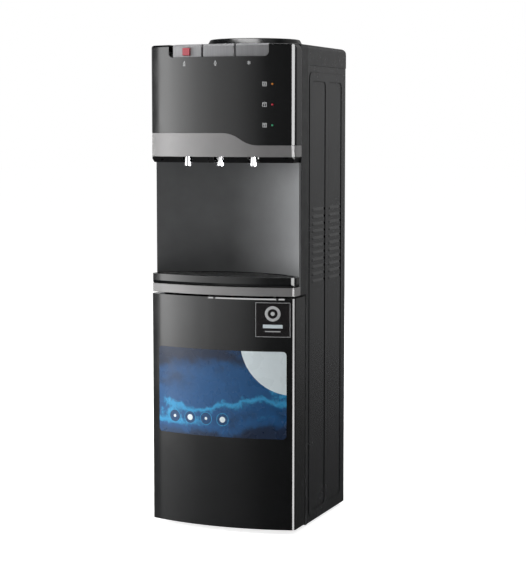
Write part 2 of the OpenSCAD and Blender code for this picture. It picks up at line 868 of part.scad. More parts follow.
module bottle_probe() {
    r = probe_d / 2;
    z0 = -26;
    z1 = z_top + 3 - z_funnel;
    flange = wall + 0.2;
    color("#e6e8e8")
    translate([0, seat_y, z_funnel]) difference() {
        rotate_extrude() polygon([
            [r - 2, z0], [r, z0], [r, flange], [r + 10, flange], [r + 10, flange + 2],
            [r + 1, flange + 4], [r, flange + 10], [r - 1, z1 - 8], [r - 5, z1], [3, z1],
            [3, z1 - 3], [r - 7, z1 - 4], [r - 3, z1 - 9]]);
        for (a = [0:60:300]) rotate([0, 0, a]) translate([r - 2, 0, z1 - 18])
            rotate([0, 90, 0]) cylinder(r = 2, h = 8, center = true, $fn = 24);
    }
}

// ---- Drip tray ----

module tray_plan(inset, back) {
    intersection() {
        bow_plan(tray_corner_r, inset, y_cover + side_d / 3);
        translate([0, y_bay]) circle(r = bay_r + back, $fn = fine);
    }
}

module drip_tray() {
    z_rebate = z_tray1 - grille_t - 1.2;
    color("#161718")
    difference() {
        intersection() {
            translate([0, 0, z_tray0]) linear_extrude(tray_h) tray_plan(0, 0.5);
            union() {
                sloped(tray_corner_r, tray_bevel_in, 0, y_cover + side_d / 3, z_tray0,
                    z_tray0 + tray_bevel + eps);
                bowed(tray_corner_r, 0, y_cover + side_d / 3, z_tray0 + tray_bevel, z_tray1);
            }
        }
        translate([0, 0, z_tray0 + tray_floor]) linear_extrude(tray_h)
            tray_plan(tray_rim, -tray_rim);
        translate([0, 0, z_rebate]) linear_extrude(tray_h) tray_plan(tray_rim - 3, 3 - tray_rim);
    }
}

module drip_grille() {
    z1 = z_tray1 - 1;
    rib = 6;
    rows = ceil((y_bay + bay_r - y_apex) / slot_pitch);
    color("#101112")
    difference() {
        translate([0, 0, z1 - grille_t]) linear_extrude(grille_t)
            tray_plan(tray_rim - 3 + seam, 3 - tray_rim - seam);
        translate([0, 0, z1 - grille_t - 1]) linear_extrude(grille_t + 2) difference() {
            intersection() {
                tray_plan(tray_rim + 3, -tray_rim - 4);
                union() for (i = [1:rows]) translate([-half_w, y_apex + i * slot_pitch])
                    square([cabinet_w, slot_w]);
            }
            for (x = [-72, 0, 72]) translate([x - rib / 2, y_apex]) square([rib, side_d]);
        }
    }
}

// ---- Door ----

// Part of the door between two depths behind its front, and z0 up to z1
module door_slice(in0, in1, x0, x1, z0, z1) {
    intersection() {
        difference() {
            bowed(door_corner_r, in0, y_door - 1, z0, z1);
            bowed(door_corner_r, in1, y_door, z0 - 1, z1 + 1);
        }
        span(x0, x1, y_apex - 1, y_door, z0 - 1, z1 + 1);
    }
}

module door_shell() {
    gx0 = grip_x - grip_w / 2;
    gx1 = grip_x + grip_w / 2;
    bore_r = hinge_d / 2 + 0.1;
    color("#121314")
    difference() {
        union() {
            difference() {
                bowed(door_corner_r, door_in, y_door, z_door0, z_door1);
                bowed(door_corner_r, door_in + door_wall, y_door + 1, z_door0 + door_wall,
                    z_door1 - door_wall);
            }
            for (z = [z_door0, z_door1 - boss_h]) translate([hinge_x, hinge_y, z])
                cylinder(r = boss_r, h = boss_h);
            door_slice(grip_y0 - 3, grip_y1 + 3, gx0 - 3, gx1 + 3, z_door1 - grip_h - 3, z_door1);
        }
        door_slice(grip_y0, grip_y1, gx0, gx1, z_door1 - grip_h, z_door1 + 1);
        for (p = [[gx0 - pad_gap - pad_w, pad_w], [gx0, grip_w], [gx1 + pad_gap, pad_w]])
            intersection() {
                span(p[0], p[0] + p[1], y_apex, y_corner + 10, z_door1 - 5, z_door1 + 1);
                translate([0, y_bow, z_door1]) rotate_extrude($fn = fine) polygon([
                    [bow_r - door_in - 2, 1], [bow_r + 1, 1], [bow_r + 1, -3.2],
                    [bow_r - door_in, -3.2], [bow_r - door_in - 2, -0.4]]);
            }
        for (z = [z_door0 - 1, z_door1 - pin_in - 0.5]) translate([hinge_x, hinge_y, z])
            cylinder(r = bore_r, h = pin_in + 1.5);
    }
}

module door_liner() {
    x1 = half_w - door_in - door_wall - seam;
    z0 = z_door0 + door_wall + seam;
    z1 = z_door1 - door_wall - seam;
    rim = 26;
    color("#e4e5e3")
    difference() {
        union() {
            span(-x1, x1, y_door - wall, y_door, z0, z1);
            span(-x1 + rim, x1 - rim, y_door - 12, y_door, z0 + rim, z1 - rim);
        }
        span(-x1 + rim + wall, x1 - rim - wall, y_door - 12 + wall, y_door + 1,
            z0 + rim + wall, z1 - rim - wall);
    }
}

module door_gasket() {
    w = 8;
    x1 = half_w - door_in - door_wall - 3.5;
    z0 = z_door0 + 7;
    z1 = z_door1 - 7;
    color("#3a3a3a")
    along_y(y_door, y_jamb - seam) difference() {
        translate([-x1, z0]) square([2 * x1, z1 - z0]);
        translate([-x1 + w, z0 + w]) square([2 * (x1 - w), z1 - z0 - 2 * w]);
    }
}

module door_labels() {
    color("#245a86")
    intersection() {
        difference() {
            bowed(door_corner_r, door_in - label_gap - label_t, y_door, z_door0, z_door1);
            bowed(door_corner_r, door_in - label_gap, y_door + 1, z_door0 - 1, z_door1 + 1);
        }
        along_y(y_apex - 1, y_corner + 5) {
            round_rect(label_x - label_w / 2, label_x + label_w / 2, z_label - label_h / 2,
                z_label + label_h / 2, 7);
            round_rect(sticker_x - sticker_w / 2, sticker_x + sticker_w / 2,
                z_sticker - sticker_h / 2, z_sticker + sticker_h / 2, 2);
        }
    }
}

module door_hinges() {
    color("#9a9c9e") {
        hinge_plate(z_hinge_top, 0);
        translate([hinge_x, hinge_y, z_door1 - pin_in])
            cylinder(r = hinge_d / 2, h = z_hinge_top - z_door1 + pin_in + eps);
        hinge_plate(z_base, 0);
        translate([hinge_x, hinge_y, z_base + plate_t - eps])
            cylinder(r = hinge_d / 2, h = door_foot_gap - plate_t + pin_in);
    }
}

// ---- Storage space ----

module storage_liner() {
    x1 = liner_half;
    x0 = liner_half - liner_t;
    color("#d9dad8") {
        difference() {
            union() {
                span(-x1, x1, y_seam, liner_low_y, z_liner0, z_liner_step);
                span(-x1, x1, y_seam, liner_high_y, z_liner_step - liner_t, z_liner1);
            }
            span(-x0, x0, y_seam - 1, liner_low_y - liner_t, z_liner0 + liner_t, z_liner_step + 1);
            span(-x0, x0, y_seam - 1, liner_high_y - liner_t, z_liner_step, z_liner1 - liner_t);
        }
        for (s = [-1, 1]) span(s * (x0 - 2) - 2.1, s * (x0 - 2) + 2.1, y_seam + 4,
            liner_high_y - 6, shelf_z - 5, shelf_z);
    }
}

module storage_shelf() {
    x1 = liner_half - liner_t - seam;
    y0 = y_seam + 4;
    y1 = liner_high_y - liner_t - seam;
    bar = 6;
    gap = 12;
    count = floor((2 * x1 - 30) / (bar + gap));
    pitch = (2 * x1 - 20) / count;
    color("#cfd1d1")
    difference() {
        span(-x1, x1, y0, y1, shelf_z, shelf_z + shelf_t);
        for (i = [0:count - 1]) span(-x1 + 10 + i * pitch + bar / 2, -x1 + 10 + (i + 1) * pitch
            - bar / 2, y0 + 12, y1 - 12, shelf_z - 1, shelf_z + shelf_t + 1);
    }
}

// ---- Keys and taps ----

module lock_block(grow, y0, y1) {
    on_bow(lock_a) span(-lock_w / 2 - grow, lock_w / 2 + grow, y0, y1,
        z_lock - lock_h / 2 - grow, z_lock + lock_h / 2 + grow);
}

module key(i) {
    x = key_xs[i];
    r = bow_r - key_inset;
    z0 = z_key0 - key_lap;
    difference() {
        union() {
            difference() {
                intersection() {
                    translate([0, y_bow, z0]) cylinder(r = r, h = z_top - z0, $fn = fine);
                    span(x - key_w / 2, x + key_w / 2, y_apex, y_key_back, z0, z_top);
                }
                intersection() {
                    translate([0, y_bow, z0 - 1])
                        cylinder(r = r - key_t, h = z_top - z0 + 1 - key_t, $fn = fine);
                    span(x - key_w / 2 + key_t, x + key_w / 2 - key_t, y_apex,
                        y_key_back - key_t, z0 - 1, z_top);
                }
            }
            span(tap_xs[i] - 3, tap_xs[i] + 3, rod_y - 3, rod_y + 3, z_rod1 + seam,
                z_top - key_t + eps);
            for (s = [-1, 1]) translate([0, 0, z_key_pin])
                along_x(x + s * 24 - 2, x + s * 24 + 2) {
                    translate([y_key_back - 1, -5]) square([y_key_pin - y_key_back + 1, 10]);
                    translate([y_key_pin, 0]) circle(r = 5);
                }
        }
        translate([x - key_w, y_key_pin, z_key_pin]) rotate([0, 90, 0])
            cylinder(r = key_pin_d / 2 + 0.1, h = 2 * key_w);
        translate([0, y_bow, z_top]) rotate_extrude($fn = fine)
            polygon([[r - 3.5, eps], [r + 1, eps], [r + 1, -3.5], [r, -3.5]]);
    }
}

module key_hot() {
    color("#8d8b8a") difference() {
        key(0);
        lock_block(seam, -2, key_inset + 6);
    }
}
module key_normal() { color("#8d8b8a") key(1); }
module key_cold() { color("#8d8b8a") key(2); }

// The red button slides into the hot key; a flange inside keeps it there
module child_lock() {
    y_in = key_inset + key_t + 1.2;
    color("#c9303e") {
        lock_block(0, -1, y_in + 3);
        lock_block(2, y_in, y_in + 2);
    }
}

module key_pin() {
    x0 = key_xs[0] - key_pitch / 2 - 2;
    x1 = key_xs[2] + key_pitch / 2 + 2;
    color("#b4b6b8")
    translate([x0, y_key_pin, z_key_pin]) rotate([0, 90, 0])
        cylinder(r = key_pin_d / 2, h = x1 - x0);
}

module rod(x) {
    color("#d8dad8") translate([x, rod_y, 0]) {
        translate([0, 0, z_carrier - 8]) cylinder(r = rod_d / 2, h = z_rod1 - z_carrier + 8);
        translate([0, 0, z_rod_collar]) cylinder(r = rod_d / 2 + 3.5, h = rod_collar_h);
    }
}

module rod_hot() { rod(tap_xs[0]); }
module rod_normal() { rod(tap_xs[1]); }
module rod_cold() { rod(tap_xs[2]); }

module return_spring(x) {
    wire = 1;
    color("#a8aaac")
    translate([x, rod_y, z_carrier + carrier_t + wire / 2 + 0.1])
        tube(helix(rod_d / 2 + 1.8, 5, spring_h - wire - 0.2, 14), wire, 6);
}

module spring_hot() { return_spring(tap_xs[0]); }
module spring_normal() { return_spring(tap_xs[1]); }
module spring_cold() { return_spring(tap_xs[2]); }

module valve_bodies() {
    color("#e1e3e2")
    for (x = tap_xs) difference() {
        union() {
            span(x - valve_half, x + valve_half, y_tap - valve_front, y_tap + valve_back,
                z_valve0, z_carrier);
            translate([x, y_tap + valve_back - eps, barb_z]) rotate([-90, 0, 0])
                cylinder(r = barb_r, h = barb_l + eps);
        }
        translate([x, rod_y, z_carrier - 12]) cylinder(r = rod_d / 2 + 0.3, h = 13);
    }
}

module tap_nozzles() {
    z0 = z_lip0 - tap_drop;
    color("#dcdedf")
    for (x = tap_xs) translate([x, y_tap, z0]) difference() {
        cylinder(r = tap_d / 2, h = z_valve0 - z0);
        translate([0, 0, -1]) cylinder(r = tap_bore / 2, h = z_valve0 - z0 - 2);
    }
}

module valve_carrier() {
    y1 = y_seam - column_t - seam;
    y0 = y1 - wall;
    z_guide = z_top - 61;
    reach = tap_pitch + 16;
    color("#55585a")
    difference() {
        union() {
            span(-half_w + column_t + seam, half_w - column_t - seam, y0, y1, z_carrier,
                z_key_pin + 8);
            for (z = [z_carrier, z_guide]) intersection() {
                bowed(head_corner_r, wall + 1, y1, z, z + carrier_t);
                span(-reach, reach, y_apex, y1, z - 1, z + carrier_t + 1);
            }
            for (i = [-1.5:1:1.5]) translate([keys_x + i * key_pitch, 0, 0])
                along_x(-ear_t / 2, ear_t / 2)
                    translate([y_key_pin - 6, z_key_pin - 7])
                        square([y0 - y_key_pin + 6 + eps, 14]);
        }
        for (x = tap_xs) translate([x, rod_y, z_carrier - 1])
            cylinder(r = rod_d / 2 + 0.3, h = z_guide - z_carrier + 10);
        translate([-half_w, y_key_pin, z_key_pin]) rotate([0, 90, 0])
            cylinder(r = key_pin_d / 2 + 0.05, h = cabinet_w);
    }
}

// ---- Tanks ----

module tank_rack() {
    y0 = hot_y - jacket_r1 - 4;
    color("#8b8e90")
    difference() {
        union() {
            span(-side_in, side_in, y0, rack_y1, z_rack_low, z_rack_low + rack_t);
            span(-side_in, side_in, y_seam + 4, rack_y1, z_rack_high, z_rack_high + rack_t);
            for (x = [-side_in, side_in - rack_t])
                span(x, x + rack_t, 20, 100, z_rack_low, z_rack_high + rack_t);
        }
        translate([0, seat_y, z_rack_high - 1]) cylinder(r = 7, h = 4);
    }
}

module cold_tank() {
    t = 1.2;
    color("#c3c6c8")
    translate([0, seat_y, z_cold0]) difference() {
        cylinder(r = cold_r, h = cold_h, $fn = 120);
        translate([0, 0, t]) cylinder(r = cold_r - t, h = cold_h, $fn = 120);
    }
}

module foam_jacket() {
    color("#eeeeea")
    difference() {
        translate([0, seat_y, z_foam0]) cylinder(r = foam_r1, h = z_cold1 - z_foam0, $fn = 120);
        translate([0, seat_y, z_cold0]) cylinder(r = foam_r0, h = cold_h + 1, $fn = 120);
        translate([0, seat_y, z_foam0 - 1]) cylinder(r = hose_d / 2 + 0.5, h = foam_floor + 2);
        for (x = [cold_x, normal_x]) translate([x, seat_y, outlet_z]) rotate([90, 0, 0])
            cylinder(r = hose_d / 2 + 0.5, h = foam_r1 + 1);
        for (p = [[suction_x, z_suction], [capillary_x, z_capillary]])
            translate([p[0], seat_y, p[1]]) rotate([-90, 0, 0])
                cylinder(r = pipe_d / 2 + 0.5, h = foam_r1 + 1);
    }
}

module evaporator_coil() {
    turns = 7;
    steps = 30;
    z0 = z_cold0 + coil_low;
    color("#b8734a")
    translate([0, seat_y, z0]) rotate([0, 0, 200])
        tube(helix(coil_r / cos(180 / steps), turns, cold_h - coil_low - coil_high, steps), coil_d - 0.2, 8);
}

module tank_baffle() {
    disc_z = z_cold1 - 40 - z_cold0;
    t = 1.5;
    color("#e6e8e8")
    translate([0, seat_y, z_cold0]) difference() {
        union() {
            translate([0, 0, t]) cylinder(r = 7, h = disc_z);
            translate([0, 0, disc_z]) cylinder(r = cold_r - 4, h = 3);
        }
        translate([0, 0, t - 1]) cylinder(r = 5.5, h = disc_z + 5);
        for (a = [0:45:315]) rotate([0, 0, a]) translate([cold_r - 18, 0, disc_z - 1])
            cylinder(r = 5, h = 5, $fn = 24);
    }
}

module hot_tank() {
    t = 1.2;
    color("#c3c6c8")
    difference() {
        union() {
            translate([0, hot_y, z_hot0]) cylinder(r = hot_r, h = hot_h, $fn = 120);
            for (p = [[hot_out_x, hot_y], [0, seat_y]]) translate([p[0], p[1], z_hot0 + hot_h - 1])
                cylinder(r = 4, h = z_jacket1 - z_hot0 - hot_h + 1 + spigot);
            translate([0, hot_y + hot_r - 2, z_hot0 + port_rise]) rotate([-90, 0, 0])
                cylinder(r = 4, h = jacket_r1 - hot_r + 2 + spigot);
        }
        translate([0, hot_y, z_hot0 + t]) cylinder(r = hot_r - t, h = hot_h - 2 * t, $fn = 120);
        for (p = [[hot_out_x, hot_y], [0, seat_y]]) translate([p[0], p[1], z_hot0 + hot_h - 4])
            cylinder(r = 2.8, h = z_jacket1);
        translate([0, hot_y + hot_r - 4, z_hot0 + port_rise]) rotate([-90, 0, 0])
            cylinder(r = 2.8, h = jacket_r1);
    }
}

module hot_jacket() {
    color("#c9c4b4")
    difference() {
        translate([0, hot_y, z_jacket0])
            cylinder(r = jacket_r1, h = z_jacket1 - z_jacket0, $fn = 120);
        translate([0, hot_y, z_hot0]) cylinder(r = jacket_r0, h = hot_h + 0.2, $fn = 120);
        for (p = [[hot_out_x, hot_y], [0, seat_y]]) translate([p[0], p[1], z_hot0 + hot_h])
            cylinder(r = 4.3, h = 40);
        translate([0, hot_y, z_hot0 + port_rise]) rotate([-90, 0, 0]) cylinder(r = 4.3, h = jacket_r1 + 1);
    }
}

module heater_band() {
    color("#a9a29a")
    translate([0, hot_y, z_hot0 + (hot_h - band_h) / 2 - 15]) difference() {
        cylinder(r = hot_r + band_t, h = band_h, $fn = 120);
        translate([0, 0, -1]) cylinder(r = hot_r + 0.1, h = band_h + 2, $fn = 120);
    }
}

module thermal_cutouts() {
    color("#2d2d2f")
    for (p = [[hot_r / 2, hot_y + hot_r / 3], [hot_r * 0.6, hot_y - hot_r / 4]])
        translate([p[0], p[1], z_jacket1]) {
        cylinder(r = 9, h = 6);
        translate([0, 0, 6 - eps]) cylinder(r = 6, h = 5);
    }
}

module water_hoses() {
    z_low = z_rack_high - 9;
    z_out = z_jacket1 + spigot + 0.1;
    cold_y = seat_y - sqrt(pow(cold_r, 2) - pow(cold_x - hose_d / 2, 2)) - 0.2;
    normal_y = seat_y - sqrt(pow(cold_r, 2) - pow(hose_d / 2 + normal_x, 2)) - 0.2;
    color("#d9dcd6") {
        tube(eased([[hot_out_x, hot_y, z_out], [hot_out_x, hot_y, z_low],
            [hot_out_x, y_hose, z_low], [tap_xs[0], y_hose - hose_turn, barb_z], [tap_xs[0], y_barb, barb_z]],
            11, 5), hose_d);
        tube(eased([[normal_x, normal_y, outlet_z], [normal_x, y_hose, outlet_z],
            [tap_xs[1], y_hose - hose_turn, barb_z], [tap_xs[1], y_barb, barb_z]], 10, 5), hose_d);
        tube(eased([[cold_x, cold_y, outlet_z], [cold_x, y_hose, outlet_z],
            [tap_xs[2], y_hose - hose_turn, barb_z], [tap_xs[2], y_barb, barb_z]], 10, 5), hose_d);
        translate([0, seat_y, z_out]) cylinder(r = hose_d / 2, h = z_cold0 - z_out - 0.1);
        drain_line();
    }
}

// From the hot tank's foot down to the drain spout in the back panel
module drain_line() {
    z0 = z_hot0 + port_rise;
    y0 = hot_y + jacket_r1 + spigot + 0.1;
    spout_y = y_back - 2 * sheet_t - 2;
    tube(eased([[0, y0, z0], [0, pipe_y, z0], [0, pipe_y, z0 - 60],
        [drain_x, pipe_y, z_drain + 60], [drain_x, pipe_y, z_drain],
        [drain_x, spout_y, z_drain]], 7, 4), hose_d);
    translate([drain_x, spout_y + 0.1, z_drain]) rotate([-90, 0, 0]) difference() {
        union() {
            cylinder(r = spout_r, h = 15);
            cylinder(r = spout_r + 3, h = 1.9);
        }
        translate([0, 0, 3]) cylinder(r = 4, h = 13);
    }
}

module drain_cap() {
    y0 = y_back + 1;
    color("#2a2a2c")
    translate([drain_x, y0, z_drain]) rotate([-90, 0, 0]) difference() {
        union() {
            cylinder(r = spout_r + 4, h = 15);
            for (a = [0:30:330]) rotate([0, 0, a]) translate([spout_r + 3.6, 0, 0])
                cylinder(r = 1.2, h = 15);
        }
        translate([0, 0, -1]) cylinder(r = spout_r + 0.3, h = 13);
    }
}

// ---- Cooling unit ----

module compressor() {
    r = comp_r;
    h = comp_h;
    t = 3;
    color("#1a1b1c")
    translate([comp_x, comp_y, z_comp]) {
        translate([0, 0, t - eps]) rotate_extrude($fn = 120) polygon([
            [0, 0], [r - 14, 0], [r - 6, 3], [r - 1, 10], [r - 1, h * 0.42], [r, h * 0.43],
            [r, h * 0.47], [r - 2, h * 0.48], [r - 2, h - 34], [r - 6, h - 20], [r - 14, h - 9],
            [r - 28, h - 2], [r - 44, h], [0, h]]);
        difference() {
            span(-bolt_x - 12, bolt_x + 12, -bolt_y - 10, bolt_y + 10, 0, t);
            for (x = [-bolt_x, bolt_x], y = [-bolt_y, bolt_y]) translate([x, y, -1])
                cylinder(r = 3.4, h = 6);
        }
    }
}

module compressor_mounts() {
    t = 3;
    color("#26272a")
    for (x = [-bolt_x, bolt_x], y = [-bolt_y, bolt_y])
        translate([comp_x + x, comp_y + y, z_base + sheet_t])
        rotate_extrude() polygon([
            [0, 0], [10, 0], [8.5, mount_h / 2], [10, mount_h], [3, mount_h],
            [3, mount_h + t + 0.2], [6, mount_h + t + 0.2], [6, mount_h + t + 5],
            [0, mount_h + t + 5]]);
}

module start_relay() {
    x1 = comp_x - comp_r - 0.3;
    color("#2f3032") {
        span(x1 - 22, x1, comp_y - 16, comp_y + 16, z_comp + 60, z_comp + 104);
        span(x1 - 26, x1 - 22 + eps, comp_y - 10, comp_y + 10, z_comp + 66, z_comp + 98);
    }
}

module refrigerant_pipes() {
    zd = z_comp + 90;
    x0 = comp_x + comp_r + 0.2;
    hole_r = coil_r + coil_d / 2 + 0.4;
    y_suction = seat_y + sqrt(pow(hole_r, 2) - pow(suction_x, 2));
    y_capillary = seat_y + sqrt(pow(hole_r, 2) - pow(capillary_x, 2));
    xd = cond_half + 13;
    xr = -cond_half - 33;
    z_row1 = z_cond0 + (cond_rows - 1) * cond_pitch;
    last_x = (cond_rows % 2 == 1) ? -1 : 1;
    z_under = z_back0 - 12;
    z_drier = z_under - 60;
    color("#b8734a") {
        tube(eased([[x0, comp_y, zd], [x0 + 24, comp_y, zd], [xd, pipe_y, zd],
            [xd, pipe_y, z_under - 20], [xd, y_cond, z_under], [xd, y_cond, z_cond0],
            [cond_half + 0.1, y_cond, z_cond0]], 9, 4), pipe_d);
        tube(eased([[last_x * (cond_half + 0.1), y_cond, z_row1], [last_x * -xr, y_cond, z_row1],
            [last_x * -xr, y_cond, z_cond0 - 14], [-xd + 3, y_cond, z_cond0 - 34],
            [-xd + 3, y_cond, z_under], [-xd + 3, pipe_y, z_under - 20],
            [-xd + 3, pipe_y, z_drier]], 8, 4), pipe_d);
        tube(eased([[suction_x, y_suction, z_suction], [suction_x, pipe_y, z_suction],
            [suction_x, pipe_y, z_liner_step - 12], [comp_x, pipe_y, z_liner_step - 12],
            [comp_x, comp_y, z_liner_step - 12], [comp_x, comp_y, z_comp + 3 + comp_h + 0.2]],
            7, 4), pipe_d);
        tube(eased([[-xd + 3, pipe_y, z_drier - 70.2], [-xd + 3, pipe_y, z_drier - 90],
            [-xd + 25, pipe_y, z_drier - 90], [-xd + 25, pipe_y, z_liner1 + 40],
            [capillary_x, pipe_y, z_liner1 + 80], [capillary_x, pipe_y, z_capillary],
            [capillary_x, y_capillary, z_capillary]], 6, 3), 2.6);
        translate([-xd + 3, pipe_y, z_drier - 70.1]) rotate_extrude() polygon([
            [0, 0], [3, 0], [3, 4], [9, 10], [9, 58], [4, 66], [4, 70], [0, 70]]);
    }
}

module condenser() {
    z1 = z_cond0 + (cond_rows - 1) * cond_pitch;
    r = cond_d / 2;
    weld = 0.05;
    color("#1e1f20") {
        for (i = [0:cond_rows - 1]) translate([-cond_half, y_cond, z_cond0 + i * cond_pitch])
            rotate([0, 90, 0]) cylinder(r = r, h = 2 * cond_half, $fn = 24);
        for (i = [0:cond_rows - 2]) {
            s = (i % 2 == 0) ? -1 : 1;
            translate([s * cond_half, y_cond, z_cond0 + (i + 0.5) * cond_pitch])
                rotate([90, 0, 0]) rotate([0, 0, s > 0 ? -90 : 90])
                    rotate_extrude(angle = 180, $fn = 96) translate([cond_pitch / 2, 0])
                        circle(r = r, $fn = 24);
        }
        for (x = [-60, 60], row = [1, cond_rows - 2])
            span(x - 1.5, x + 1.5, y_back - sheet_t + 0.05, y_cond + r + 0.5,
                z_cond0 + row * cond_pitch - 6, z_cond0 + row * cond_pitch + 6);
        for (x = [-104:8:104], s = [-1, 1])
            translate([x, y_cond + s * (r + weld + wire_d / 2 - weld), z_cond0 - 9])
                cylinder(r = wire_d / 2 - weld, h = z1 - z_cond0 + 18, $fn = 16);
    }
}

// ---- Electrics ----

module indicator_board() {
    color("#2c5a3a")
    on_bow(lamp_a) span(-9, 9, board_gap + 0.1, board_gap + 1.7, z_head0 + lamp_low - 13,
        z_head0 + lamp_low + 2 * lamp_pitch + 13);
}

module indicator_lenses() {
    color("#d8d8d0")
    for (i = [0:2]) on_bow(lamp_a)
        translate([0, 0.1, z_head0 + lamp_low + i * lamp_pitch]) rotate([-90, 0, 0])
            cylinder(r = lamp_d / 2, h = board_gap);
}

// A rocker tips about its middle; it rests with its upper end out
module rocker(x) {
    half = switch_h / 2 - 1.2;
    color("#1a1a1b")
    translate([x, y_back - sheet_t, z_switch]) rotate([switch_tilt, 0, 0]) {
        along_x(-switch_w / 2 + 1, switch_w / 2 - 1)
            polygon([[-5, -half + 1], [4, -half], [2.2, 0], [4, half], [-5, half - 1]]);
        rotate([0, 90, 0]) cylinder(r = 1.5, h = switch_w - 0.6, center = true);
    }
}

module heating_switch() { rocker(switch_xs[0]); }
module cooling_switch() { rocker(switch_xs[1]); }

module thermostat_knob() {
    color("#1c1c1d")
    translate([knob_x, y_back, z_switch]) rotate([-90, 0, 0]) {
        translate([0, 0, -9]) cylinder(r = spindle_r, h = 10);
        difference() {
            union() {
                translate([0, 0, 0.4]) cylinder(r = knob_r, h = 12);
                for (a = [0:30:330]) rotate([0, 0, a]) translate([knob_r - 0.3, 0, 0.4])
                    cylinder(r = 1.1, h = 12);
            }
            translate([-1, 3, 11.6]) cube([2, 9, 2]);
        }
    }
}

module cord_gland() {
    color("#1a1a1a")
    translate([gland_x, y_back - sheet_t, z_gland]) rotate([-90, 0, 0]) difference() {
        union() {
            translate([0, 0, 0.05]) cylinder(r = gland_r + 3, h = 3);
            translate([0, 0, -5]) cylinder(r = gland_r, h = 6);
            translate([0, 0, 3]) cylinder(r1 = gland_r + 1, r2 = gland_r - 0.4, h = gland_l);
        }
        translate([0, 0, -6]) cylinder(r = gland_r * 0.6, h = gland_l + 11);
    }
}

// ---- The parts ----

base_pan();
feet();
side_panel_left();
side_panel_right();
back_panel();
front_frame();
head_cover();
wave_band();
tap_ceiling();
bay_panel();
silver_strip();
top_cover();
bottle_collar();
bottle_probe();
drip_tray();
drip_grille();
door_shell();
door_liner();
door_gasket();
door_labels();
door_hinges();
storage_liner();
storage_shelf();
key_hot();
key_normal();
key_cold();
child_lock();
key_pin();
rod_hot();
rod_normal();
rod_cold();
spring_hot();
spring_normal();
spring_cold();
valve_bodies();
tap_nozzles();
valve_carrier();
tank_rack();
cold_tank();
foam_jacket();
evaporator_coil();
tank_baffle();
hot_tank();
hot_jacket();
heater_band();
thermal_cutouts();
water_hoses();
drain_cap();
compressor();
compressor_mounts();
start_relay();
refrigerant_pipes();
condenser();
indicator_board();
indicator_lenses();
heating_switch();
cooling_switch();
thermostat_knob();
cord_gland();
screws();
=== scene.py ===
"""Looks of a floor-standing water dispenser: finishes, small printed and lit details, studio and camera."""

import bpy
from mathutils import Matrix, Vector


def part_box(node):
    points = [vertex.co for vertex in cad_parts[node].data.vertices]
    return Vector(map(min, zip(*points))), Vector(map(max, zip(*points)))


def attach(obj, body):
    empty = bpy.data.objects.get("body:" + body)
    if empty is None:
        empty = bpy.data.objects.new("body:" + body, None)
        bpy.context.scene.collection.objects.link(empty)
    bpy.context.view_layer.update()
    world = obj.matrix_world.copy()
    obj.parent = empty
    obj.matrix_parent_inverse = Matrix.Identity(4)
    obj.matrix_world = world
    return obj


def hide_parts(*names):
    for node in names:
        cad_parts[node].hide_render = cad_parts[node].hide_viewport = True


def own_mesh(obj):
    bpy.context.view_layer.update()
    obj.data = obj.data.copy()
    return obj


bl_info = {
    "name": "Water dispenser",
    "version": (1, 0, 0),
    "blender": (4, 5, 0),
    "location": "3D View > Sidebar > Dispenser",
    "description": "Dresses the water dispenser's frame and sets up its studio",
    "category": "Object",
}

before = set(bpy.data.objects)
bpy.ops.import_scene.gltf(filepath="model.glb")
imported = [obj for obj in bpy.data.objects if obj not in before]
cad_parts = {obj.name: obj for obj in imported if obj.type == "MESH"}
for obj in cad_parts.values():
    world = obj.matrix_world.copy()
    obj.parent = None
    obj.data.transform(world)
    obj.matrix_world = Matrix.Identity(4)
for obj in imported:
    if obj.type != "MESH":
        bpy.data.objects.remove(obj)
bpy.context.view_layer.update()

import math

import bmesh
import bpy
from bpy.props import FloatProperty, PointerProperty, StringProperty
from mathutils import Vector

MM = 0.001

# Bow of the front, found from the head's own box: its depth over the side's corner is the rise of the arc
HEAD_LOW, HEAD_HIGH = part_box("head_cover")
HALF_W = HEAD_HIGH.x
FRONT_BOW = 25 * MM
BOW_R = (HALF_W ** 2 + FRONT_BOW ** 2) / (2 * FRONT_BOW)
BOW_Y = HEAD_LOW.y + BOW_R


# ---- Settings ----

def length(name, description, default):
    return FloatProperty(name=name, description=description, default=default, unit="LENGTH", min=0.0)


def colour(name, description, default):
    return StringProperty(name=name, description=description + ", as an sRGB hex value", default=default)


class DispenserSizes(bpy.types.PropertyGroup):
    picture_w: length("Picture width", "Width of the printed picture on the door", 275 * MM)
    picture_h: length("Picture height", "Height of the printed picture on the door", 174 * MM)
    picture_z: length("Picture centre", "Height of the picture's middle over the floor", 278 * MM)
    card_side: length("Sticker side", "Side of the square sticker at the door's upper corner", 69 * MM)
    card_z: length("Sticker centre", "Height of the sticker's middle over the floor", 428 * MM)
    film_t: length("Film thickness", "Thickness of both printed films", 0.3 * MM)
    lens_d: length("Lamp diameter", "Diameter of an indicator lens", 3.6 * MM)
    print_t: length("Print thickness", "How far a printed symbol stands on the head", 0.05 * MM)
    edge: length("Edge rounding", "Radius that a moulded edge catches light over", 0.5 * MM)


class DispenserColours(bpy.types.PropertyGroup):
    gloss_black: colour("Front plastic", "High-gloss ABS of the head, door, tray and collar", "#101112")
    satin_grey: colour("Bay lacquer", "Satin lacquer of the round bay", "#6f7071")
    silver: colour("Silver lacquer", "Band over the taps and strip over the door", "#807f7f")
    key_grey: colour("Key lacquer", "The three push keys", "#88888a")
    lock_red: colour("Lock red", "Button of the child lock", "#8e1c2c")
    steel_coat: colour("Powder coat", "Coated steel of the sides, back and base", "#1b1c1e")
    film_deep: colour("Picture, deep", "Dark edges of the door's picture", "#0a1d36")
    film_mid: colour("Picture, middle", "Middle blue in the door's picture", "#134a7a")
    film_pale: colour("Picture, pale", "Lit water in the door's picture", "#2f8fbe")
    film_white: colour("Picture, white", "Plain corner of the door's picture", "#dbe6ea")
    print_grey: colour("Print grey", "Symbols printed on the head and the sticker", "#c2c3c4")


# ---- Small tools ----

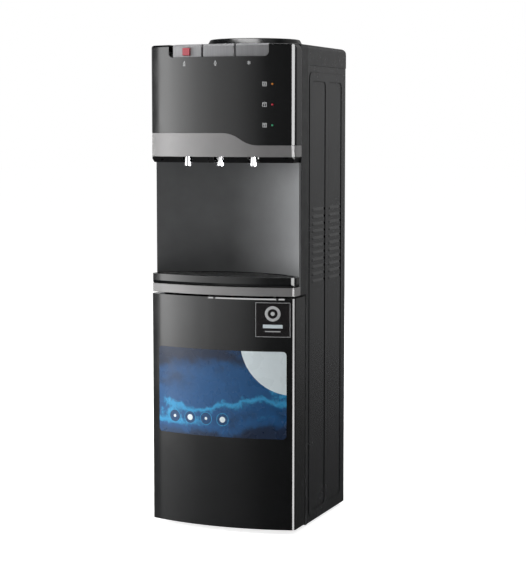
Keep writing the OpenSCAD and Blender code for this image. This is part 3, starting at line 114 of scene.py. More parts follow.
def hex_colour(text):
    """An sRGB hex value as the linear colour that a shader takes."""
    parts = [int(text[i:i + 2], 16) / 255 for i in (1, 3, 5)]
    return [p / 12.92 if p <= 0.04045 else ((p + 0.055) / 1.055) ** 2.4 for p in parts] + [1.0]


def add(tree, kind, settings=None, **sockets):
    """Adds a node; a socket is given a value, or a pair of a node and its output's name."""
    made = tree.nodes.new(kind)
    for key, value in (settings or {}).items():
        setattr(made, key, value)
    for key, value in sockets.items():
        wanted = key.replace("_", " ")
        socket = made.inputs[int(key[1:])] if key[1:].isdigit() else made.inputs[wanted]
        if isinstance(value, tuple) and len(value) == 2 and hasattr(value[0], "outputs"):
            tree.links.new(value[0].outputs[value[1]], socket)
        else:
            socket.default_value = value
    return made


def calc(tree, operation, *terms):
    """Adds a maths node; each term is a number, or a pair of a node and its output."""
    return add(tree, "ShaderNodeMath", {"operation": operation}, **{"i%d" % i: t for i, t in enumerate(terms)})


def vector(tree, operation, *terms):
    """Adds a vector maths node in the same way."""
    return add(tree, "ShaderNodeVectorMath", {"operation": operation}, **{"i%d" % i: t for i, t in enumerate(terms)})


def ramp(tree, source, stops, smooth="LINEAR"):
    """Adds a colour ramp; stops are pairs of a place from 0 to 1 and a linear colour or grey."""
    made = add(tree, "ShaderNodeValToRGB", Fac=source)
    band = made.color_ramp
    band.interpolation = smooth
    while len(band.elements) > 1:
        band.elements.remove(band.elements[-1])
    for i, (place, value) in enumerate(stops):
        stop = band.elements[0] if i == 0 else band.elements.new(place)
        stop.position = place
        stop.color = value if isinstance(value, (list, tuple)) else (value, value, value, 1)
    return made


def deselect():
    if bpy.context.mode != "OBJECT":
        bpy.ops.object.mode_set(mode="OBJECT")
    bpy.ops.object.select_all(action="DESELECT")


def choose(piece):
    deselect()
    piece.select_set(True)
    bpy.context.view_layer.objects.active = piece


def join_parts(parts, name):
    """Joins parts into the first of them, with its origin at the frame's."""
    deselect()
    for part in parts:
        part.select_set(True)
    bpy.context.view_layer.objects.active = parts[0]
    bpy.ops.object.join()
    joined = bpy.context.object
    joined.name = name
    bpy.ops.object.transform_apply(location=True, rotation=True, scale=True)
    return joined


def dress(piece, material):
    """Gives a piece or CAD node one material all over."""
    piece.data.materials.clear()
    piece.data.materials.append(material)
    return piece


def settings():
    return bpy.context.scene.dispenser_sizes, bpy.context.scene.dispenser_colours


# ---- Materials ----

def new_material(name):
    material = bpy.data.materials.new(name)
    material.use_nodes = True
    tree = material.node_tree
    tree.nodes.clear()
    out = add(tree, "ShaderNodeOutputMaterial")
    shader = add(tree, "ShaderNodeBsdfPrincipled")
    tree.links.new(shader.outputs[0], out.inputs[0])
    place = add(tree, "ShaderNodeTexCoord")
    return material, tree, shader, (place, "Object")


def join(tree, source, shader, socket):
    tree.links.new(source[0].outputs[source[1]], shader.inputs[socket])


def shade(tree, shader, place, tone, spread, size_mm, roughness, rough_spread, bump_mm, bump_depth, edge=None):
    """Colour that varies a little, uneven gloss and a fine surface: what all the finishes share. spread is a share of
    the tone and rough_spread goes either way from roughness; sizes, bumps and their depth are in mm, and edge is the
    radius over which sharp edges look rounded."""
    patch = add(tree, "ShaderNodeTexNoise", Vector=place, Scale=1000 / size_mm, Detail=4.0, Roughness=0.55)
    low = [c * (1 - spread) for c in tone[:3]] + [1]
    high = [min(1, c * (1 + spread)) for c in tone[:3]] + [1]
    join(tree, (ramp(tree, (patch, 0), [(0.3, low), (0.7, high)]), 0), shader, "Base Color")
    gloss = ramp(tree, (patch, 0), [(0.3, max(0, roughness - rough_spread)), (0.7, roughness + rough_spread)])
    join(tree, (gloss, 0), shader, "Roughness")
    fine = add(tree, "ShaderNodeTexNoise", Vector=place, Scale=1000 / bump_mm, Detail=2.0)
    relief = add(tree, "ShaderNodeBump", Strength=1.0, Distance=bump_depth * MM, Height=(fine, 0))
    if edge:
        rounded = add(tree, "ShaderNodeBevel", {"samples": 4}, Radius=edge)
        tree.links.new(rounded.outputs[0], relief.inputs["Normal"])
    join(tree, (relief, 0), shader, "Normal")
    return patch


def gloss_abs(name, tone, roughness=0.09):
    """High-gloss ABS, injection moulded in a polished tool: black depth, a mirror a little broken by orange peel."""
    material, tree, shader, place = new_material(name)
    # faint wipe marks 60 mm across and 9 mm waves from the tool; edges round over half a millimetre
    shade(tree, shader, place, tone, 0.10, 60, roughness, 0.03, 9, 0.006, settings()[0].edge)
    shader.inputs["IOR"].default_value = 1.5
    return material


def lacquer(name, tone, roughness, shine=0.5):
    """Metallic lacquer on ABS: grey with fine aluminium flakes, drawn 0.9 mm wide so that they show."""
    material, tree, shader, place = new_material(name)
    shade(tree, shader, place, tone, 0.05, 45, roughness, 0.03, 0.9, 0.004, settings()[0].edge)
    shader.inputs["IOR"].default_value = 1.5
    shader.inputs["Specular IOR Level"].default_value = shine
    return material


def brushed(name, tone):
    """Grey lacquer over upright brush lines, drawn 0.7 mm apart so that they show."""
    material, tree, shader, place = new_material(name)
    tall = add(tree, "ShaderNodeMapping", Vector=place, Scale=(1, 1, 0.03))
    shade(tree, shader, (tall, 0), tone, 0.10, 4, 0.32, 0.05, 0.7, 0.01, 0.8 * MM)
    shader.inputs["IOR"].default_value = 1.5
    return material


def pressed_fields():
    """Middle, half size, corner radius and line width of the fields pressed in each side, in y and z: one large
    field, and two inside it with 18 mm between them."""
    low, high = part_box("side_panel_right")
    front, rear, bottom, top = low.y + 10.7 * MM, high.y - 16 * MM, low.z + 12 * MM, high.z - 12.7 * MM
    step, foot, head = 12 * MM, 12 * MM, 18 * MM
    width = (rear - front - 42 * MM) / 2
    inner = [(front + step, front + step + width), (rear - step - width, rear - step)]
    found = [((front + rear) / 2, (bottom + top) / 2, (rear - front) / 2, (top - bottom) / 2, 14 * MM, 1.2 * MM)]
    for y0, y1 in inner:
        found.append(((y0 + y1) / 2, (bottom + foot + top - head) / 2, width / 2,
                      (top - head - bottom - foot) / 2, 10 * MM, 2.2 * MM))
    return found


def step_line(tree, place, y, z, half_y, half_z, corner, line):
    """1 along the outline of a field with round corners, line wide, else 0."""
    off = vector(tree, "SUBTRACT", place, (0, y, z))
    size = vector(tree, "ABSOLUTE", (off, 0))
    past = vector(tree, "SUBTRACT", (size, 0), (10, half_y - corner, half_z - corner))
    outer = vector(tree, "MAXIMUM", (past, 0), (0, 0, 0))
    far = vector(tree, "LENGTH", (outer, 0))
    split = add(tree, "ShaderNodeSeparateXYZ", Vector=(past, 0))
    most = calc(tree, "MAXIMUM", (split, 1), (split, 2))
    inside = calc(tree, "MINIMUM", (most, 0), 0.0)
    total = calc(tree, "ADD", (far, "Value"), (inside, 0))
    return calc(tree, "COMPARE", (total, 0), corner, line / 2)


def powder_coat(name, tone):
    """Semi-gloss polyester powder on sheet steel, with orange peel of about 1.4 mm; painted shade makes it black along
    the steps of the pressed fields.
    """
    material, tree, shader, place = new_material(name)
    shade(tree, shader, place, tone, 0.10, 90, 0.24, 0.04, 1.4, 0.01)
    # painted shade: black lines along the steps of the pressed fields, where shade falls; black and metallic there, so
    # that they mirror almost nothing
    painted_step_shades = [step_line(tree, place, *field) for field in pressed_fields()]
    dark = painted_step_shades[0]
    for step in painted_step_shades[1:]:
        dark = calc(tree, "MAXIMUM", (dark, 0), (step, 0))
    kept = shader.inputs["Base Color"].links[0].from_socket
    # painted shade laid over the coat's own colour
    colour_with_painted_shade = add(tree, "ShaderNodeMix", {"data_type": "RGBA"}, i0=(dark, 0), i7=(0.001, 0.001, 0.001, 1))
    tree.links.new(kept, colour_with_painted_shade.inputs[6])
    tree.links.new(colour_with_painted_shade.outputs[2], shader.inputs["Base Color"])
    join(tree, (dark, 0), shader, "Metallic")
    shader.inputs["IOR"].default_value = 1.5
    return material


def moulded(name, tone, roughness, grain_mm=0.8, depth=0.02):
    """Plain moulded plastic or rubber with the fine spark-eroded grain of its tool."""
    material, tree, shader, place = new_material(name)
    shade(tree, shader, place, tone, 0.08, 30, roughness, 0.06, grain_mm, depth, 0.3 * MM)
    shader.inputs["IOR"].default_value = 1.48
    return material


def bare_metal(name, tone, roughness, along=(1, 1, 1), grain_mm=0.6, spread=0.12):
    """Bare or plated metal; its grain is stretched along the way that it was drawn, rolled or brushed."""
    material, tree, shader, place = new_material(name)
    turned = add(tree, "ShaderNodeMapping", Vector=place, Scale=along)
    shade(tree, shader, (turned, 0), tone, spread, 12, roughness, 0.06, grain_mm, 0.01)
    shader.inputs["Metallic"].default_value = 1.0
    return material


def all_materials():
    c = settings()[1]
    tone = {p: hex_colour(getattr(c, p)) for p in DispenserColours.__annotations__}
    return {
        "front_black": gloss_abs("ABS, high gloss black", tone["gloss_black"]),
        "collar_black": gloss_abs("ABS, gloss black collar", tone["gloss_black"], 0.2),
        "cover_black": moulded("ABS, satin charcoal", hex_colour("#1d1e20"), 0.3, 1.2, 0.012),
        "satin_grey": lacquer("Satin lacquer on ABS, dark grey", tone["satin_grey"], 0.6, shine=0.0),
        "silver": lacquer("Silver lacquer on ABS", tone["silver"], 0.2),
        "key_grey": brushed("Grey lacquer on ABS, brushed", tone["key_grey"]),
        "lock_red": gloss_abs("ABS, gloss red", tone["lock_red"], 0.2),
        "steel_coat": powder_coat("Powder coat on steel", tone["steel_coat"]),
        # darker than the front's black: painted shade on the head's underside over the taps
        "underside_painted_shade": moulded("ABS, black underside with painted shade", hex_colour("#0a0a0b"), 0.3),
        "dark_trim": moulded("ABS, dark satin", hex_colour("#141516"), 0.38),
        "white_abs": moulded("ABS, white satin", hex_colour("#dfe1e0"), 0.35),
        "liner_white": moulded("Polystyrene, vacuum-formed white", hex_colour("#e4e6e6"), 0.4, 2.5),
        "grey_wire": moulded("PE coating on wire, grey", hex_colour("#9a9c9e"), 0.4),
        "nylon_black": moulded("Nylon, moulded black", hex_colour("#1a1a1b"), 0.45),
        "rubber": moulded("Rubber, black", hex_colour("#121212"), 0.7, 1.2),
        "gasket": moulded("PVC gasket, grey", hex_colour("#3c3d3f"), 0.55, 1.0),
        "foam": moulded("PU foam, pale", hex_colour("#e2d9b0"), 0.85, 1.6, 0.25),
        "silicone": moulded("Silicone rubber, milky", hex_colour("#d8dcd6"), 0.4, 2.0),
        "enamel": gloss_abs("Enamel on steel, black", hex_colour("#0e0e0f"), 0.22),
        "laminate": moulded("Glass laminate, green", hex_colour("#1f5a35"), 0.35, 0.5),
        "zinc": bare_metal("Zinc-plated steel", hex_colour("#b9bbbd"), 0.34, grain_mm=0.9),
        "spring": bare_metal("Spring steel", hex_colour("#c4c5c6"), 0.22),
        "stainless": bare_metal("Stainless steel, brushed", hex_colour("#c6c7c8"), 0.28, (1, 1, 14)),
        "chrome": bare_metal("Chrome plate on brass", hex_colour("#e2e2e3"), 0.12, grain_mm=60, spread=0.02),
        "copper": bare_metal("Copper tube, drawn", hex_colour("#b87350"), 0.3),
        "aluminium": bare_metal("Aluminium, rolled", hex_colour("#bfc0c0"), 0.36, (6, 1, 1)),
    }


FINISHES = {
    "front_black": "head_cover drip_tray door_shell",
    "collar_black": "bottle_collar",
    "cover_black": "top_cover",
    "satin_grey": "bay_panel",
    "silver": "wave_band silver_strip",
    "key_grey": "key_hot key_normal key_cold",
    "lock_red": "child_lock",
    "steel_coat": "base_pan side_panel_left side_panel_right back_panel",
    "underside_painted_shade": "tap_ceiling",
    "dark_trim": "front_frame drip_grille",
    "white_abs": "bottle_probe valve_bodies tank_baffle rod_hot rod_normal rod_cold",
    "liner_white": "door_liner storage_liner",
    "grey_wire": "storage_shelf",
    "nylon_black": "drain_cap start_relay heating_switch cooling_switch thermostat_knob cord_gland thermal_cutouts",
    "rubber": "feet compressor_mounts",
    "gasket": "door_gasket",
    "foam": "foam_jacket hot_jacket",
    "silicone": "water_hoses",
    "enamel": "compressor condenser",
    "laminate": "indicator_board",
    "zinc": "door_hinges key_pin valve_carrier tank_rack screws",
    "spring": "spring_hot spring_normal spring_cold",
    "stainless": "cold_tank hot_tank",
    "chrome": "tap_nozzles",
    "copper": "evaporator_coil refrigerant_pipes",
    "aluminium": "heater_band",
}


# Camera: place and aim in metres, lens in mm, and the part of the frame that the picture is shifted by
CAMERA_EYE, CAMERA_AIM = (1.2837, -3.1485, 0.7993), (0.0275, 0.0, 0.486)
CAMERA_LENS, CAMERA_SHIFT = 104.3, -0.0045

# Softboxes, which only light and aren't mirrored: place and side in metres, power in watts
SOFTBOXES = (
    ("key_softbox", (-3.55, -0.95, 0.62), 1.6, 250),
    ("fill_softbox", (-0.9, -3.3, 1.9), 1.8, 6),
    ("top_softbox", (-0.3, -0.2, 3.4), 1.6, 50),
    ("rear_softbox", (2.2, 2.4, 2.2), 1.6, 32),
    ("rear_left_softbox", (-2.2, 2.6, 2.4), 1.6, 50),
)

# What glossy surfaces mirror, as strengths. Round the object: degrees from straight in front, positive to the right.
# By height: the upward part of the direction, 0 at eye level.
LEFT_ROUND = ((-180, 0.03), (-57.6, 0.03), (-56.2, 0.88), (-51, 0.83), (-44, 0.6), (-34, 0.35), (-24, 0.22),
              (-14, 0.16), (-6, 0.09), (2, 0.02), (20, 0.012), (180, 0.03))
LEFT_HEIGHT = ((-0.25, 0.07), (-0.22, 0.11), (-0.185, 0.17), (-0.11, 1.0), (0.3, 1.0), (0.4, 0.05))
RIGHT_ROUND = ((-180, 0.05), (29, 0.0), (31, 1.0), (84, 1.0), (87, 0.0), (180, 0.0))
RIGHT_HEIGHT = ((-0.3, 0.03), (-0.25, 1.0), (-0.22, 1.0), (-0.16, 0.95), (-0.11, 0.68), (-0.08, 0.74), (-0.04, 1.0),
                (0.085, 1.0), (0.11, 0.03))
REAR_ROUND = ((106, 0.0), (125, 1.0))
REAR_HEIGHT = ((-0.25, 0.01), (-0.08, 0.015), (0.06, 0.045))
LAMP_ROUND = ((-75, 0.0), (-65, 1.0), (30, 1.0), (40, 0.0))
LAMP_HEIGHT = ((0.77, 0.0), (0.8, 1.0), (0.935, 1.0), (0.96, 0.0))
SKY_HEIGHT = ((0.76, 0.0), (0.9, 0.12))
RIGHT_GAIN, LAMP_GAIN, MIRRORED_GAIN = 2.6, 1.8, 6.0
ROOM_LIGHT = 0.26

# Painted shade in the rear ends of the louvres, as matt black ovals: their y, then the lowest row, the pitch and the
# number of rows;
# each is a flat oval on the sheet inside the pressed field, 1 mm behind the side's outer face
SHADE_DOT_Y = (17 * MM, 115.5 * MM)
SHADE_DOT_ROWS = (495 * MM, 14.4 * MM, 11)
SHADE_DOT_R, SHADE_DOT_T = 2.7 * MM, 0.3 * MM
SHADE_DOT_LONGER = 1.9
FIELD_STEP = 1 * MM

# Solids whose edges are rounded, with the body each rides on and the radius in mm
ROUNDED = (("bottle_collar", "cabinet", 0.8), ("tap_nozzles", "cabinet", 0.5), ("key_hot", "key_hot", 0.5),
           ("key_normal", "key_normal", 0.5), ("key_cold", "key_cold", 0.5), ("child_lock", "child_lock", 0.6))

# Printed symbols: width of a line, how far they hang under the keys and lie left of a key's middle, how far the
# squares lie left of the lamps, half a square's diagonal and the length of its bars
PRINT_LINE = 1.3 * MM
KEY_PRINT_DROP, KEY_PRINT_SHIFT = 8 * MM, 5 * MM
LAMP_PRINT_SHIFT, SQUARE_R, SQUARE_BAR = 11 * MM, 6 * MM, 5 * MM

# Lamps from the lowest up, with the tone of the lens
LAMPS = (("green", "#2fae7a"), ("red", "#d8384c"), ("orange", "#f0963c"))


# ---- Modelling ----

def on_bow(x, out=0.0):
    """Depth of the bowed front at x, moved outwards by out."""
    return BOW_Y - math.sqrt((BOW_R + out) ** 2 - x * x)


def wrap_on_bow(piece, out, thickness):
    """Lays a flat piece drawn in x and z on the bowed front and gives it thickness, inwards from out."""
    bm = bmesh.new()
    bm.from_mesh(piece.data)
    for v in bm.verts:
        v.co.y = on_bow(v.co.x, out)
    bm.to_mesh(piece.data)
    bm.free()
    choose(piece)
    wall = piece.modifiers.new("Wall", "SOLIDIFY")
    wall.thickness = thickness
    wall.offset = -1
    bpy.ops.object.modifier_apply(modifier=wall.name)


def flat_card(name, x, z, w, h, corner, columns):
    """A card in x and z with round corners, cut into columns so that it can follow the bow."""
    deselect()
    bpy.ops.mesh.primitive_plane_add(size=1, location=(x, 0, z), rotation=(math.pi / 2, 0, 0))
    card = bpy.context.object
    card.name = name
    card.scale = (w, h, 1)
    bpy.ops.object.transform_apply(location=True, rotation=True, scale=True)
    bpy.ops.object.mode_set(mode="EDIT")
    bpy.ops.mesh.select_all(action="SELECT")
    bpy.ops.mesh.bevel(offset=corner, segments=6, affect="VERTICES")
    for i in range(1, columns):
        bpy.ops.mesh.select_all(action="SELECT")
        bpy.ops.mesh.bisect(plane_co=(x - w / 2 + w * i / columns, 0, z), plane_no=(1, 0, 0))
    bpy.ops.object.mode_set(mode="OBJECT")
    return card


def inside_disc(tree, place, x, z, r):
    """1 within r of the point x, z on the front, else 0."""
    flat = vector(tree, "MULTIPLY", place, (1, 0, 1))
    far = vector(tree, "DISTANCE", (flat, 0), (x, 0, z))
    return calc(tree, "LESS_THAN", (far, "Value"), r)


def inside_bar(tree, place, x, z, w, h):
    """1 inside a bar w wide and h high about x, z on the front, else 0."""
    off = vector(tree, "SUBTRACT", place, (x, 0, z))
    size = vector(tree, "ABSOLUTE", (off, 0))
    split = add(tree, "ShaderNodeSeparateXYZ", Vector=(size, 0))
    wide = calc(tree, "LESS_THAN", (split, 0), w / 2)
    high = calc(tree, "LESS_THAN", (split, 2), h / 2)
    return calc(tree, "MULTIPLY", (wide, 0), (high, 0))


def print_over(tree, under, mask, tone):
    """Prints a tone over the colour below wherever the mask is 1."""
    over = add(tree, "ShaderNodeMix", {"data_type": "RGBA"}, i0=(mask, 0), i6=under, i7=tone)
    return over, 2


def merged_copy(node, name, flat_angle=None):
    """A copy of a solid's mesh with its doubled points merged, and its flats too where an angle says how flat; it
    takes the solid's place."""
    piece = bpy.data.objects.new(name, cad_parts[node].data.copy())
    bpy.context.scene.collection.objects.link(piece)
    choose(piece)
    bpy.ops.object.mode_set(mode="EDIT")
    bpy.ops.mesh.select_all(action="SELECT")
    bpy.ops.mesh.remove_doubles(threshold=0.01 * MM)
    if flat_angle is not None:
        bpy.ops.mesh.dissolve_limited(angle_limit=flat_angle)
    bpy.ops.object.mode_set(mode="OBJECT")
    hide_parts(node)
    return piece


def rounded_copy(node, name, width):
    """A merged copy of a solid with its sharp edges rounded and its flats kept flat in the light."""
    piece = merged_copy(node, name, flat_angle=math.radians(0.6))
    sharp = math.radians(30)
    edge = piece.modifiers.new("Edge", "BEVEL")
    edge.width = width
    edge.segments = 2
    edge.limit_method = "ANGLE"
    edge.angle_limit = sharp
    bpy.ops.object.modifier_apply(modifier=edge.name)
    bpy.ops.object.shade_smooth_by_angle(angle=sharp)
    flats = piece.modifiers.new("Flats", "WEIGHTED_NORMAL")
    flats.keep_sharp = True
    bpy.ops.object.modifier_apply(modifier=flats.name)
    return piece


class DISPENSER_OT_rounded(bpy.types.Operator):
    """Round the edges of the pieces that a hand or the light finds first"""
    bl_idname = "dispenser.rounded"
    bl_label = "Rounded edges"

    def execute(self, context):
        for node, body, width in ROUNDED:
            piece = rounded_copy(node, node + "_rounded", width * MM)
            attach(dress(piece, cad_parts[node].data.materials[0]), body)
        return {"FINISHED"}


class DISPENSER_OT_louvre_shade_dots(bpy.types.Operator):
    """Set a matt black oval of painted shade in the rear end of every louvre on both sides"""
    bl_idname = "dispenser.louvre_eyes"
    bl_label = "Louvre eyes"

    def execute(self, context):
        # no shine at all: painted shade where the louvre's opening lies in shade
        black = moulded("Matt black, painted shade", hex_colour("#08080a"), 0.9)
        black.node_tree.nodes["Principled BSDF"].inputs["Specular IOR Level"].default_value = 0.0
        z_first, pitch, rows = SHADE_DOT_ROWS
        for name, side in (("right", 1), ("left", -1)):
            shade_dots = []
            for y in SHADE_DOT_Y:
                for row in range(rows):
                    bpy.ops.mesh.primitive_cylinder_add(
                        vertices=16, radius=SHADE_DOT_R, depth=SHADE_DOT_T, rotation=(0, math.pi / 2, 0), scale=(1, SHADE_DOT_LONGER, 1),
                        location=(side * (HALF_W - FIELD_STEP + SHADE_DOT_T / 2), y, z_first + row * pitch))
                    shade_dots.append(bpy.context.object)
            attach(dress(join_parts(shade_dots, "louvre_eyes_" + name), black), "cabinet")
        return {"FINISHED"}


class DISPENSER_OT_springs(bpy.types.Operator):
    """Swap the return springs for merged, smooth-shaded copies of their own that ride on the cabinet"""
    bl_idname = "dispenser.springs"
    bl_label = "Valve springs"

    def execute(self, context):
        for tap in ("hot", "normal", "cold"):
            node = "spring_" + tap
            piece = merged_copy(node, node + "_wire")
            bpy.ops.object.shade_smooth_by_angle(angle=math.radians(70))
            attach(piece, "cabinet")
            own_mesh(piece)
        return {"FINISHED"}


def picture_material(name, x, z, w, h):
    """Glossy PET film, offset printed: dark blue with a lit band of water, a plain pale corner and four rings."""
    colours = settings()[1]
    deep, mid, pale, white = (hex_colour(getattr(colours, n))
                              for n in ("film_deep", "film_mid", "film_pale", "film_white"))
    material, tree, shader, place = new_material(name)
    local = add(tree, "ShaderNodeMapping", {"vector_type": "POINT"}, Vector=place,
                Location=(-x / w, 0, -z / h), Scale=(1 / w, 1, 1 / h))
    split = add(tree, "ShaderNodeSeparateXYZ", Vector=(local, 0))
    # bands of water 63 mm apart, bent by noise 125 mm wide, with a crest pattern of about 9 mm
    wave = add(tree, "ShaderNodeTexWave", {"wave_type": "BANDS", "bands_direction": "Z"}, Vector=place,
               Scale=5.0, Distortion=9.0, Detail=4.0, Detail_Scale=1.6, Detail_Roughness=0.6)
    crest = add(tree, "ShaderNodeTexNoise", Vector=place, Scale=110.0, Detail=5.0, Roughness=0.65, Distortion=1.2)
    slope = calc(tree, "MULTIPLY_ADD", (split, 0), -0.28, (split, 2))
    moved = calc(tree, "MULTIPLY_ADD", (wave, "Fac"), 0.2, (slope, 0))
    rough = calc(tree, "MULTIPLY_ADD", (crest, 0), 0.22, (moved, 0))
    up = add(tree, "ShaderNodeMapRange", Value=(rough, 0), From_Min=-0.45, From_Max=0.8)
    water = ramp(tree, (up, 0), [(0.05, deep), (0.3, mid), (0.42, pale), (0.5, mid), (0.62, mid), (0.95, deep)], "EASE")
    under = (water, 0)
    # a plain pale disc whose middle lies past the picture's upper right corner
    corner = inside_disc(tree, place, x + w * 0.56, z + h * 0.62, h * 0.62)
    under = print_over(tree, under, corner, white)
    # four dark discs in a row at the lower left, each with a thin pale rim and a small or large white middle in turn
    radius, gap, ring_w = 13 * MM, 36 * MM, 1.1 * MM
    dark = [c * 0.7 for c in mid[:3]] + [1]
    for i in range(4):
        spot = (x - w * 0.36 + i * gap, z - h * 0.3)
        under = print_over(tree, under, inside_disc(tree, place, *spot, radius), pale)
        under = print_over(tree, under, inside_disc(tree, place, *spot, radius - ring_w), dark)
        under = print_over(tree, under, inside_disc(tree, place, *spot, (3 + i % 2 * 3) * MM), white)
    tree.links.new(under[0].outputs[under[1]], shader.inputs["Base Color"])
    # the film's own faint waviness, 25 mm across
    film = add(tree, "ShaderNodeTexNoise", Vector=place, Scale=40.0, Detail=2.0)
    gloss = ramp(tree, (film, 0), [(0.3, 0.24), (0.7, 0.32)])
    join(tree, (gloss, 0), shader, "Roughness")
    shader.inputs["IOR"].default_value = 1.5
    return material


def symbol_stroke(x, z, w, h, turn=0.0):
    """One printed bar of a symbol, drawn flat in x and z."""
    deselect()
    bpy.ops.mesh.primitive_plane_add(size=1, location=(0, 0, 0), rotation=(math.pi / 2, 0, 0))
    bar = bpy.context.object
    bar.scale = (w, h, 1)
    bpy.ops.object.transform_apply(location=False, rotation=True, scale=True)
    bar.rotation_euler = (0, turn, 0)
    bar.location = (x, 0, z)
    bpy.ops.object.transform_apply(location=True, rotation=True, scale=True)
    return bar


def symbol_ring(x, z, r, line, points=20, tip=0.0, lean=0.0):
    """A printed outline: a circle, or a drop or flame when its top point is drawn up to a tip."""
    deselect()
    bpy.ops.mesh.primitive_circle_add(vertices=points, radius=r, fill_type="NGON", location=(x, 0, z),
                                      rotation=(math.pi / 2, 0, 0))
    ring = bpy.context.object
    bpy.ops.object.transform_apply(location=True, rotation=True, scale=True)
    if tip:
        for v in ring.data.vertices:
            up = max(0.0, (v.co.z - z) / r)
            v.co.z += tip * up ** 4
            v.co.x = x + (v.co.x - x) * (1 - 0.35 * up) + lean * up ** 3
    bpy.ops.object.mode_set(mode="EDIT")
    bpy.ops.mesh.select_all(action="SELECT")
    bpy.ops.mesh.inset(thickness=line, depth=0)
    bpy.ops.mesh.delete(type="FACE")
    bpy.ops.object.mode_set(mode="OBJECT")
    return ring


def print_symbol(name, parts, material):
    """Joins the strokes of a symbol and lays them on the head's face as a thin print."""
    sizes = settings()[0]
    mark = join_parts(parts, name)
    wrap_on_bow(mark, sizes.print_t, sizes.print_t)
    dress(mark, material)
    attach(mark, "cabinet")


class DISPENSER_OT_finishes(bpy.types.Operator):
    """Give every solid of the frame the finish of its real material"""
    bl_idname = "dispenser.finishes"
    bl_label = "Finish the frame"

    def execute(self, context):
        made = all_materials()
        done = set()
        for key, names in FINISHES.items():
            for node in names.split():
                dress(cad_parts[node], made[key])
                done.add(node)
        left = set(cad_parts) - done - {"door_labels", "indicator_lenses"}
        if left:
            raise RuntimeError("no finish for " + ", ".join(sorted(left)))
        return {"FINISHED"}


class DISPENSER_OT_door_films(bpy.types.Operator):
    """Make the printed picture and the dark sticker on the door"""
    bl_idname = "dispenser.door_films"
    bl_label = "Door films"

    def execute(self, context):
        sizes = settings()[0]
        low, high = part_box("door_labels")
        x = low.x + sizes.picture_w / 2
        picture = flat_card("door_picture", x, sizes.picture_z, sizes.picture_w, sizes.picture_h, 7 * MM, 40)
        wrap_on_bow(picture, 0.0, sizes.film_t)
        dress(picture, picture_material("PET film, printed water picture", x, sizes.picture_z,
                                        sizes.picture_w, sizes.picture_h))
        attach(picture, "door")
        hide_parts("door_labels")
        card_x = high.x - sizes.card_side / 2
        card = flat_card("door_sticker", card_x, sizes.card_z, sizes.card_side, sizes.card_side + MM, 2 * MM, 12)
        wrap_on_bow(card, 0.0, sizes.film_t)
        dress(card, self.sticker_material(card_x, sizes.card_z, sizes.card_side))
        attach(card, "door")
        return {"FINISHED"}

    def sticker_material(self, x, z, side):
        """Black PET film printed in grey: a thin frame, a plain disc and two bars."""
        material, tree, shader, place = new_material("PET film, black with grey print")
        colours = settings()[1]
        black = hex_colour("#171516")
        grey, white = hex_colour(colours.print_grey), hex_colour(colours.film_white)
        fleck = add(tree, "ShaderNodeTexNoise", Vector=place, Scale=300.0, Detail=2.0)
        under = (ramp(tree, (fleck, 0), [(0.3, black), (0.7, [c * 1.3 for c in black[:3]] + [1])]), 0)
        # the frame's line, then the disc's rings, then the bars: how far below the middle, width and height in mm
        line = 0.8 * MM
        for w, tone in ((side - 2 * MM, grey), (side - 2 * MM - 2 * line, black)):
            under = print_over(tree, under, inside_bar(tree, place, x, z, w, w + MM), tone)
        for r, tone in ((15 * MM, grey), (9.5 * MM, black), (4 * MM, grey)):
            under = print_over(tree, under, inside_disc(tree, place, x, z + 12 * MM, r), tone)
        for drop, w, h, tone in ((13, 38, 7, white), (23, 30, 2, grey)):
            bar = inside_bar(tree, place, x, z - drop * MM, w * MM, h * MM)
            under = print_over(tree, under, bar, tone)
        tree.links.new(under[0].outputs[under[1]], shader.inputs["Base Color"])
        gloss = ramp(tree, (fleck, 0), [(0.3, 0.2), (0.7, 0.28)])
        join(tree, (gloss, 0), shader, "Roughness")
        shader.inputs["Specular IOR Level"].default_value = 0.3
        return material


